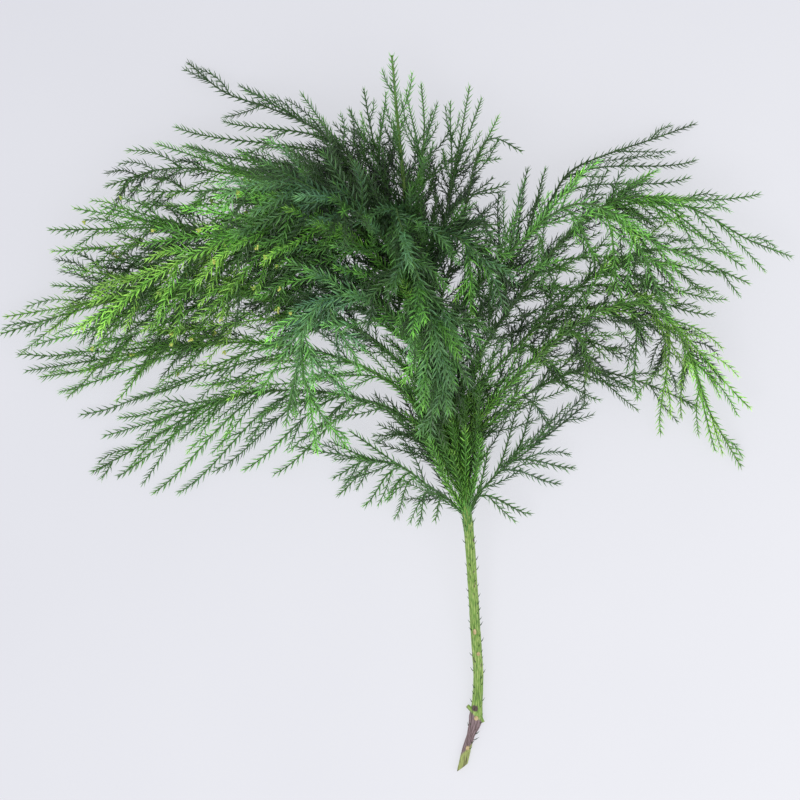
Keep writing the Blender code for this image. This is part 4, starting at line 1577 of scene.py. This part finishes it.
    def build(self, limb: str) -> bpy.types.Object:
        """Makes the piece of the leader or of one limb.

        Args:
            limb: Its name, which is that of the CAD node that it stands for.

        Returns:
            The piece, with needles in its first material slot and twigs in its second.
        """
        shoots = [shoot for shoot in self.budding.shoots if shoot.limb == limb]
        mesh = self.needle_mesh(limb + "_foliage", shoots)
        mesh.materials.append(self.twig_finish)
        whole = bmesh.new()
        whole.from_mesh(mesh)
        for order, (_, _, age) in TWIGS.items():
            chosen = [shoot for shoot in shoots if shoot.order is order]
            if not chosen:
                continue
            if limb == "leader" and order is Order.AXIS:
                age = LEADER_AGE
            twigs = self.twig_mesh(limb + "_twigs", chosen, age)
            whole.from_mesh(twigs)
            bpy.data.meshes.remove(twigs)
        whole.to_mesh(mesh)
        whole.free()
        return add_piece(mesh, limb)

    def build_stem_needles(self, path: np.ndarray) -> bpy.types.Object:
        """Makes the dark spines on the bare stem, and the pressed needles where it becomes leafy.

        Args:
            path: Points of the bare stem from the first spine to the leader.

        Returns:
            The piece.
        """
        spines = Shoot("stem", path, Order.SMALL, (5.0, 4.9), warmth=0.45, light=0.30, needle_share=0.64,
                       kind=Kind.SPINE, sparse=11.0)
        sleeve = Shoot("stem", path[-self.sleeve_points:], Order.SMALL, (4.6, 3.6), warmth=0.50, light=0.85,
                       pressed_length=500.0, needle_share=1.1, sparse=1.3)
        return add_piece(self.needle_mesh("stem_needles", [spines, sleeve]))


@dataclass(frozen=True)
class BarkFinish:
    """Bright green ridged bark, a mauve brown stretch below the knob, and a pale end.

    Places are in metres in the row's frame.

    Attributes:
        fleck_edges: Noise over which brown flecks set in.
        knob: Middle of the brown patch on the knob, seen from above.
        knob_edges: Squares of the distance from it over which the patch sets in.
        mauve_edges: Places up the sheet, beside the knob, over which the mauve stretch sets in.
        end_middle: Place to the right where the pale end's edge is read.
        end_edges: Places up the sheet over which the pale end sets in.
    """

    # pale_green is the bark's pale tone and also the painted highlight on the ridge tops; furrow is its dark
    # tone and also the painted shade in the furrows.
    pale_green: Triple = (0.380, 0.500, 0.150)
    green: Triple = (0.175, 0.330, 0.052)
    furrow: Triple = (0.075, 0.145, 0.030)
    mauve: Triple = (0.270, 0.190, 0.205)
    brown: Triple = (0.090, 0.058, 0.050)
    end_green: Triple = (0.350, 0.410, 0.130)
    patch_scale: float = 75.0
    grain_scale: float = 420.0
    streak_scale: float = 750.0
    patch_stretch: Triple = (1.0, 0.35, 1.0)
    grain_stretch: Triple = (1.0, 0.3, 1.0)
    streak_stretch: Triple = (1.0, 0.045, 1.0)
    fleck_edges: Pair = (0.33, 0.40)
    knob: Pair = (0.0795, -0.2932)
    knob_edges: Pair = (1.4e-5, 0.6e-5)
    knob_wander: float = 3.0e-5
    mauve_edges: Pair = (-0.2985, -0.3025)
    end_middle: float = 0.0735
    end_edges: Pair = (-0.330, -0.334)
    wander: float = 0.008
    relief: float = 0.0005

    def make(self) -> bpy.types.Material:
        """Makes the material.

        Returns:
            The material.
        """
        graph = Graph("living_bark")
        ridge = graph.attribute("ridge")
        across, up_sheet = graph.place("X"), graph.place("Y")
        patches = graph.noise(self.patch_scale, 3.0, self.patch_stretch)
        grain = graph.noise(self.grain_scale, 4.0, self.grain_stretch)
        streaks = graph.noise(self.streak_scale, 3.0, self.streak_stretch)
        # The ridge term paints highlight on the ridge tops and shade in the furrows over the modelled relief;
        # streaks, grain and patches are the bark's own tone.
        tone = ridge * 0.40 + (grain - 0.5) * 0.4 + (streaks - 0.5) * 1.5 + (patches - 0.5) * 0.5 + 0.25
        green = graph.ramp(tone, ((0.0, self.furrow), (0.30, self.green), (0.75, self.pale_green)))
        # Here too the ridge term paints the ridges lighter and the furrows darker, as painted highlight and
        # painted shade.
        rough = graph.ramp(ridge * 0.5 + (streaks - 0.5) + 0.3, ((0.1, self.brown), (0.7, self.mauve)))
        end = graph.ramp(patches + (streaks - 0.5) * 0.7, ((0.32, self.brown), (0.48, self.end_green)))
        wander = (patches - 0.5) * self.wander
        aside, above = across - self.knob[0], up_sheet - self.knob[1]
        flecks = (patches * grain).between(*self.fleck_edges)
        patch = aside * aside + above * above + (grain - 0.5) * self.knob_wander
        below_knob = (up_sheet + aside + wander).between(*self.mauve_edges)
        below_mauve = (up_sheet - (across - self.end_middle) + wander).between(*self.end_edges)
        colour = graph.mix(flecks, green, (*self.brown, 1.0))
        colour = graph.mix(patch.between(*self.knob_edges), colour, (*self.brown, 1.0))
        colour = graph.mix(below_knob, colour, rough)
        colour = graph.mix(below_mauve, colour, end)
        return graph.finish(colour, 0.42 + grain * 0.25 + below_knob * 0.15, streaks + ridge, self.relief)


@dataclass(frozen=True)
class WoodFinish:
    """Bare wood of cuts and scars, cream with darker grain."""

    cream: Triple = (0.560, 0.450, 0.250)
    tan: Triple = (0.330, 0.220, 0.095)
    grain_scale: float = 520.0
    patch_scale: float = 190.0
    relief: float = 0.0005

    def make(self) -> bpy.types.Material:
        """Makes the material.

        Returns:
            The material.
        """
        graph = Graph("cut_wood")
        grain = graph.noise(self.grain_scale, 5.0)
        patches = graph.noise(self.patch_scale)
        colour = graph.ramp(grain * 0.6 + patches * 0.4, ((0.34, self.tan), (0.56, self.cream)))
        return graph.finish(colour, 0.62 + grain * 0.2, grain, self.relief)


@dataclass(frozen=True)
class SheetFinish:
    """Pale matt paper that the branch lies on. A painted glow makes it shine a little, as if lit from below
    on a light table, so its shadows and the gaps in the crown read bright, though the sheet is no lamp.
    """

    colour: Triple = (0.240, 0.241, 0.252)
    # Darker end of the ramp: painted shade toward the left and the top of the picture, mixed with the paper's
    # own cloudy tone.
    shade: Triple = (0.125, 0.127, 0.148)
    # Painted glow of the sheet, which is no lamp.
    painted_glow: Triple = (0.90, 0.905, 0.96)
    painted_glow_strength: float = 0.650
    cloud_scale: float = 3.0
    tooth_scale: float = 900.0
    relief: float = 0.00004

    def make(self) -> bpy.types.Material:
        """Makes the material.

        Returns:
            The material.
        """
        graph = Graph("pale_paper")
        clouds = graph.noise(self.cloud_scale)
        # The clouds are the paper's own uneven tone; the X and Y terms are painted shade that darkens the
        # sheet toward the left and the top of the picture.
        tone = clouds * 0.3 + graph.place("X") * 0.50 - graph.place("Y") * 0.35 + 0.35
        tooth = graph.noise(self.tooth_scale, 3.0)
        colour = graph.ramp(tone, ((0.1, self.shade), (0.9, self.colour)))
        # Painted glow: the sheet gives off light as if lit from below.
        graph.feed(graph.shader.inputs["Emission Color"], (*self.painted_glow, 1.0))
        graph.feed(graph.shader.inputs["Emission Strength"], self.painted_glow_strength)
        return graph.finish(colour, 0.8 + tooth * 0.1, tooth, self.relief)


@dataclass(frozen=True)
class Scar:
    """Round scar of a shed side shoot, on the side of the stem that faces up.

    Attributes:
        down: Its place down the sheet, in millimetres.
        turn: Turn about the stem from straight up, in degrees.
        radius: Radius, in millimetres.
        stretch: Its length along the stem, as a share of its width.
    """

    down: float
    turn: float
    radius: float
    stretch: float


@dataclass(frozen=True)
class Stub:
    """Stub of an old side shoot.

    Attributes:
        start: Middle of its base, inside the knob.
        end: Middle of its cut end.
        radius: Radius at its base, in millimetres.
    """

    start: Spot
    end: Spot
    radius: float


def facing(direction: Vector) -> Matrix:
    """Returns the turn that sets a shape's own Z axis along a direction."""
    return direction.to_track_quat("Z", "Y").to_matrix().to_4x4()


def smooth_all(shape: bmesh.types.BMesh) -> None:
    """Shades every face smoothly."""
    for face in shape.faces:
        face.smooth = True


@dataclass
class BareStem:
    """Bare lower stem: ridged bark, knob, slanted cut, scars and stubs.

    Lengths are in millimetres.

    Attributes:
        ridge_width: Half width of a ridge at its ends, and what is added at its middle, as shares of
            the distance between ridges.
        ridge_foot: Height of a ridge where it starts, as a share of the height where it ends.
        base_length: Length of the foot of one shed needle on a ridge.
        base_offset: Shift between the feet on neighbouring ridges, as a share of that length.
        bend: Turn by which the ridges wind to and fro, and the length of stem for one radian of it.
        ripple: The same of a finer winding.
        lump: Height of the unevenness under the ridges, and its turns along the stem for each ring.
        cut_rim: Width of the bark's rim round the cut wood, and depth to which the wood is sunk.
        scar_height: Height of a scar as a share of its radius, and how far its middle stands out.
        stub_taper: Radius of a stub's end, as a share of that of its base.
        stub_rim: Width of the bark's rim round its cut wood, and depth to which the wood is sunk.
        stub_ridge: Tone of the stubs' bark, as on a ridge of that height.
        join: Places at which the stem runs on into the leader.
    """

    bark: bpy.types.Material
    wood: bpy.types.Material
    sides: int = 80
    ring_step: float = 1.1
    ridge_count: int = 13
    ridge_height: float = 0.48
    ridge_width: Pair = (0.16, 0.34)
    ridge_foot: float = 0.55
    base_length: float = 13.0
    base_offset: float = 0.382
    bend: Pair = (0.30, 31.0)
    ripple: Pair = (0.12, 9.0)
    lump: Triple = (0.15, 0.13, 0.05)
    floor: float = 0.05
    cut: Spot = (464, 767, 5)
    cut_slant: float = math.radians(37)
    cut_rim: Pair = (0.7, 0.25)
    scars: tuple[Scar, ...] = (
        Scar(630, -10, 1.6, 1.9), Scar(652, 14, 1.9, 1.1), Scar(718, 4, 2.2, 1.1), Scar(748, 8, 1.9, 1.2),
    )
    scar_height: Pair = (0.28, 0.05)
    stubs: tuple[Stub, ...] = (
        Stub((477.5, 713, 7.5), (482.5, 723, 8.0), 3.0), Stub((475, 714, 7.5), (467.5, 706, 8.5), 2.3),
    )
    stub_taper: float = 0.85
    stub_rim: Pair = (0.35, 0.2)
    stub_ridge: float = 0.45
    join: tuple[Spot, ...] = ((463, 490, 51.6, 3.95), (461.3, 480, 53.7, 3.6))
    first_spine: int = 24
    path: np.ndarray = field(init=False)
    radii: np.ndarray = field(init=False)

    def __post_init__(self) -> None:
        """Makes the stem's axis and its radius there, with the stretch that runs into the leader."""
        spots = STEM + self.join
        rings = np.array([place(spot) for spot in spots])
        self.path = smooth_route(rings, self.ring_step)
        nearest = [int(np.argmin(np.linalg.norm(self.path - ring, axis=1))) for ring in rings]
        self.radii = np.interp(np.arange(len(self.path)), nearest, [spot[3] for spot in spots])

    @property
    def spiny_path(self) -> np.ndarray:
        """Points of the axis from the first spine to the leader."""
        return self.path[self.first_spine:]

    def frame_at(self, down: float) -> tuple[np.ndarray, np.ndarray, float]:
        """Finds the stem at a place down the sheet.

        Args:
            down: The place.

        Returns:
            The axis point, the direction toward the leader, and the radius.
        """
        row = int(np.argmin(np.abs(self.path[:, 1] - (MIDDLE_DOWN - down))))
        row = min(max(row, 1), len(self.path) - 2)
        return self.path[row], unit(self.path[row + 1] - self.path[row - 1]), float(self.radii[row])

    def ridge(self, turn: float, length: float) -> float:
        """Models the relief of the bark.

        Args:
            turn: Turn about the stem.
            length: Length along the stem.

        Returns:
            A share from 0 in a furrow to 1 on the foot of a shed needle.
        """
        turn += (self.bend[0] * math.sin(length / self.bend[1])
                 + self.ripple[0] * math.sin(length / self.ripple[1] + 2.0 * turn))
        rank = turn * self.ridge_count / math.tau
        number = round(rank)
        beat = (length / self.base_length + self.base_offset * (number % self.ridge_count)) % 1.0
        width = self.ridge_width[0] + self.ridge_width[1] * math.sin(math.pi * beat) ** 0.7
        crown = max(0.0, 1.0 - ((rank - number) / width) ** 2)
        return crown * rising(self.ridge_foot, beat)

    def build_bark(self) -> bpy.types.Object:
        """Makes the ridged bark and the slanted cut.

        Returns:
            The piece.
        """
        shape = bmesh.new()
        bmesh.ops.create_cone(shape, cap_ends=False, segments=self.sides, radius1=1.0, radius2=1.0,
                              depth=1.0)
        bmesh.ops.subdivide_edges(shape, edges=long_edges(shape), cuts=len(self.path) - 2)
        layer = shape.verts.layers.float.new("ridge")
        _, across, other = carried_frames(self.path)
        height, winding, swelling = self.lump
        for vert in shape.verts:
            row = int(round((vert.co.z + 0.5) * (len(self.path) - 1)))
            turn = math.atan2(vert.co.y, vert.co.x)
            relief = self.ridge(turn, row * self.ring_step)
            lump = height * math.sin(3 * turn + row * winding) * math.sin(row * swelling)
            reach = self.radii[row] + self.ridge_height * (relief - 0.5) + lump
            spot = self.path[row] + reach * (across[row] * math.cos(turn) + other[row] * math.sin(turn))
            spot[2] = max(spot[2], self.floor)
            vert[layer] = relief
            vert.co = Vector(spot * MM)
        normal = Matrix.Rotation(self.cut_slant, 3, "Z") @ Vector((0.0, -1.0, 0.0))
        bmesh.ops.bisect_plane(shape, geom=shape.verts[:] + shape.edges[:] + shape.faces[:],
                               plane_co=place(self.cut) * MM, plane_no=normal, clear_outer=True)
        rims = [edge for edge in shape.edges if edge.is_boundary]
        self.sink_wood(shape, bmesh.ops.holes_fill(shape, edges=rims)["faces"], self.cut_rim)
        bmesh.ops.recalc_face_normals(shape, faces=shape.faces)
        for face in shape.faces:
            face.smooth = face.material_index == 0
        return add_piece(finished_mesh("stem_bark", shape, self.bark, self.wood), "stem")

    def sink_wood(self, shape: bmesh.types.BMesh, ends: list[bmesh.types.BMFace],
                  rim: Pair) -> None:
        """Turns end faces into cut wood, sunk inside a rim of bark.

        Args:
            shape: The shape.
            ends: Its end faces.
            rim: Width of the rim and depth of the wood.
        """
        for face in ends:
            face.material_index = 1
        made = bmesh.ops.inset_individual(shape, faces=ends, thickness=rim[0] * MM, depth=-rim[1] * MM)
        for face in made["faces"]:
            face.material_index = 0

    def build_scars(self) -> bpy.types.Object:
        """Makes the pale scars, each a low rounded disc.

        Returns:
            The piece.
        """
        shape = bmesh.new()
        flat, stand_out = self.scar_height
        for scar in self.scars:
            axis, along, radius = self.frame_at(scar.down)
            up = unit(np.array((0.0, 0.0, 1.0)) - along * along[2])
            turn = math.radians(scar.turn)
            outward = Vector(unit(math.cos(turn) * up + math.sin(turn) * np.cross(along, up)))
            spot = Vector(axis) + outward * (radius + stand_out)
            side = unit(np.cross(along, np.array(outward)))
            turned = Matrix((side, along, outward)).transposed().to_4x4()
            squash = Matrix.Diagonal((1.0, scar.stretch, flat, 1.0))
            bmesh.ops.create_uvsphere(shape, u_segments=20, v_segments=10, radius=scar.radius * MM,
                                      matrix=Matrix.Translation(spot * MM) @ turned @ squash)
        smooth_all(shape)
        return add_piece(finished_mesh("stem_scars", shape, self.wood))

    def build_stubs(self) -> bpy.types.Object:
        """Makes the stubs of old side shoots, cut off short.

        Returns:
            The piece.
        """
        shape = bmesh.new()
        layer = shape.verts.layers.float.new("ridge")
        for stub in self.stubs:
            low, high = Vector(place(stub.start)), Vector(place(stub.end))
            span = high - low
            foot = stub.radius * MM
            made = bmesh.ops.create_cone(shape, cap_ends=True, segments=20, radius1=foot,
                                         radius2=self.stub_taper * foot, depth=span.length * MM)["verts"]
            top = max(vert.co.z for vert in made)
            end = next(face for face in shape.faces
                       if all(vert in made and abs(vert.co.z - top) < 1e-6 for vert in face.verts))
            self.sink_wood(shape, [end], self.stub_rim)
            matrix = Matrix.Translation((low + span / 2) * MM) @ facing(span)
            bmesh.ops.transform(shape, matrix=matrix, verts=list(set(made) | set(end.verts)))
        for vert in shape.verts:
            vert[layer] = self.stub_ridge
        return add_piece(finished_mesh("stem_stubs", shape, self.bark, self.wood))

    def build(self) -> list[bpy.types.Object]:
        """Makes every piece of the bare stem."""
        return [self.build_bark(), self.build_scars(), self.build_stubs()]


@dataclass(frozen=True)
class ConeFinish:
    """Small cones at the tips: yellow, with green patches."""

    yellow: Triple = (0.640, 0.670, 0.160)
    green: Triple = (0.340, 0.470, 0.070)
    patch_scale: float = 90.0
    grain_scale: float = 900.0
    relief: float = 0.0003

    def make(self) -> bpy.types.Material:
        """Makes the material.

        Returns:
            The material.
        """
        graph = Graph("tip_cones")
        patches = graph.noise(self.patch_scale)
        grain = graph.noise(self.grain_scale, 3.0)
        colour = graph.ramp(patches + (grain - 0.5) * 0.5, ((0.3, self.green), (0.65, self.yellow)))
        return graph.finish(colour, 0.5 + grain * 0.3, grain, self.relief)


@dataclass
class TipCones:
    """Small cones in clusters at the tips of some small shoots on the left side of the crown.

    Attributes:
        patch: Where they grow, as (right, down, half width, half height).
        share: Share of the shoots there that carry a cluster.
        seat: Distance of their middle from the tip, as a share of their length.
    """

    budding: Budding
    finish: bpy.types.Material
    seed: int = 43
    patch: Spot = (170, 290, 140, 110)
    share: float = 0.26
    cluster: int = 5
    length: float = 3.8
    width: float = 2.1
    lean_spread: float = 0.55
    place_spread: float = 0.8
    size_range: Pair = (0.75, 1.15)
    seat: float = 0.4
    clearance: float = 0.1

    def add_cone(self, shape: bmesh.types.BMesh, tip: np.ndarray, forward: np.ndarray,
                 random: np.random.Generator) -> None:
        """Adds one cone.

        Args:
            shape: The shape that it joins.
            tip: Tip of the shoot that carries it.
            forward: Direction of the shoot there.
            random: Source of small differences.
        """
        lean = Vector(unit(forward + random.normal(0.0, self.lean_spread, 3)))
        size = random.uniform(*self.size_range)
        spot = Vector(tip + random.normal(0.0, self.place_spread, 3)) + lean * (self.seat * self.length)
        spot.z = max(spot.z, 0.5 * self.length + self.clearance)
        squash = Matrix.Diagonal((self.width * size, self.width * size, self.length * size, 1.0))
        bmesh.ops.create_icosphere(shape, subdivisions=1, radius=0.5 * MM,
                                   matrix=Matrix.Translation(spot * MM) @ facing(lean) @ squash)

    def build(self) -> bpy.types.Object:
        """Makes every cluster.

        Returns:
            All of them as one piece.
        """
        random = np.random.default_rng(self.seed)
        shape = bmesh.new()
        for shoot in self.budding.shoots:
            if shoot.order is not Order.SMALL or random.uniform() > self.share:
                continue
            before, tip = shoot.points[-2:]
            if patch_share(tip[None], self.patch)[0] > 0.0:
                for _ in range(self.cluster):
                    self.add_cone(shape, tip, unit(tip - before), random)
        smooth_all(shape)
        return add_piece(finished_mesh("tip_cones", shape, self.finish))


class Light(Enum):
    """The studio's lights, as (place, size, power), in metres and watts; all face the branch."""

    KEY = ((-0.8, -0.9, 2.4), 1.6, 20.0)
    FILL = ((1.3, -0.9, 2.2), 2.2, 12.0)


@dataclass
class Studio:
    """Pale sheet, soft lights and the camera that looks straight down on the branch.

    Attributes:
        view_middle: Place that the camera looks at, as (right, down, up) in millimetres.
    """

    paper: bpy.types.Material
    sheet_side: float = 7.0
    view_middle: Spot = (400.0, 400.0, 70.0)
    view_side: float = 0.786
    lens: float = 150.0
    sensor: float = 36.0
    sky: Triple = (0.98, 0.985, 1.0)
    sky_strength: float = 0.78

    def build_sheet(self) -> None:
        """Makes the pale sheet that the branch lies on."""
        shape = bmesh.new()
        bmesh.ops.create_grid(shape, x_segments=2, y_segments=2, size=self.sheet_side / 2)
        add_object("pale_sheet", finished_mesh("pale_sheet", shape, self.paper))

    def build_lights(self) -> None:
        """Makes the soft lights and the sky."""
        for light in Light:
            spot, size, power = light.value
            lamp = bpy.data.lights.new(light.name.lower(), "AREA")
            lamp.shape = "DISK"
            lamp.size = size
            lamp.energy = power
            holder = add_object(light.name.lower(), lamp)
            holder.location = spot
            holder.rotation_euler = (-Vector(spot)).to_track_quat("-Z", "Y").to_euler()
        world = bpy.data.worlds.new("soft_sky")
        world.use_nodes = True
        background = world.node_tree.nodes["Background"]
        background.inputs["Color"].default_value = (*self.sky, 1.0)
        background.inputs["Strength"].default_value = self.sky_strength
        bpy.context.scene.world = world
        bpy.context.scene.view_settings.view_transform = "Standard"

    def build_camera(self) -> None:
        """Makes the camera, with the cut end at the foot of the picture."""
        data = bpy.data.cameras.new("camera")
        data.lens = self.lens
        data.sensor_width = self.sensor
        camera = add_object("camera", data)
        height = self.view_side * self.lens / self.sensor
        camera.location = Vector(place(self.view_middle)) * MM + Vector((0.0, 0.0, height))
        bpy.context.scene.camera = camera

    def build(self) -> None:
        """Makes the camera, the sheet and the lights."""
        self.build_camera()
        self.build_sheet()
        self.build_lights()


def main() -> None:
    """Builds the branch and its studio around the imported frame."""
    logging.basicConfig(level=logging.INFO, format="%(name)s %(message)s")
    for item in list(bpy.data.objects):
        bpy.data.objects.remove(item)
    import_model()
    Studio(SheetFinish().make()).build()
    stem = BareStem(BarkFinish().make(), WoodFinish().make())
    stem.build()
    budding = Budding(Growth())
    LOG.info("%d shoots, %.1f m", len(budding.shoots),
             sum(shoot.length for shoot in budding.shoots) * MM)
    needles = {Kind.FULL: Needle(), Kind.PLAIN: Needle(plain=True), Kind.SPINE: Needle(width=0.19)}
    foliage = Foliage(budding, needles, NeedleFinish().make(), TwigFinish().make())
    foliage.build_stem_needles(stem.spiny_path)
    TipCones(budding, ConeFinish().make()).build()
    for limb in TONES:
        foliage.build(limb)


if __name__ == "__main__":
    main()
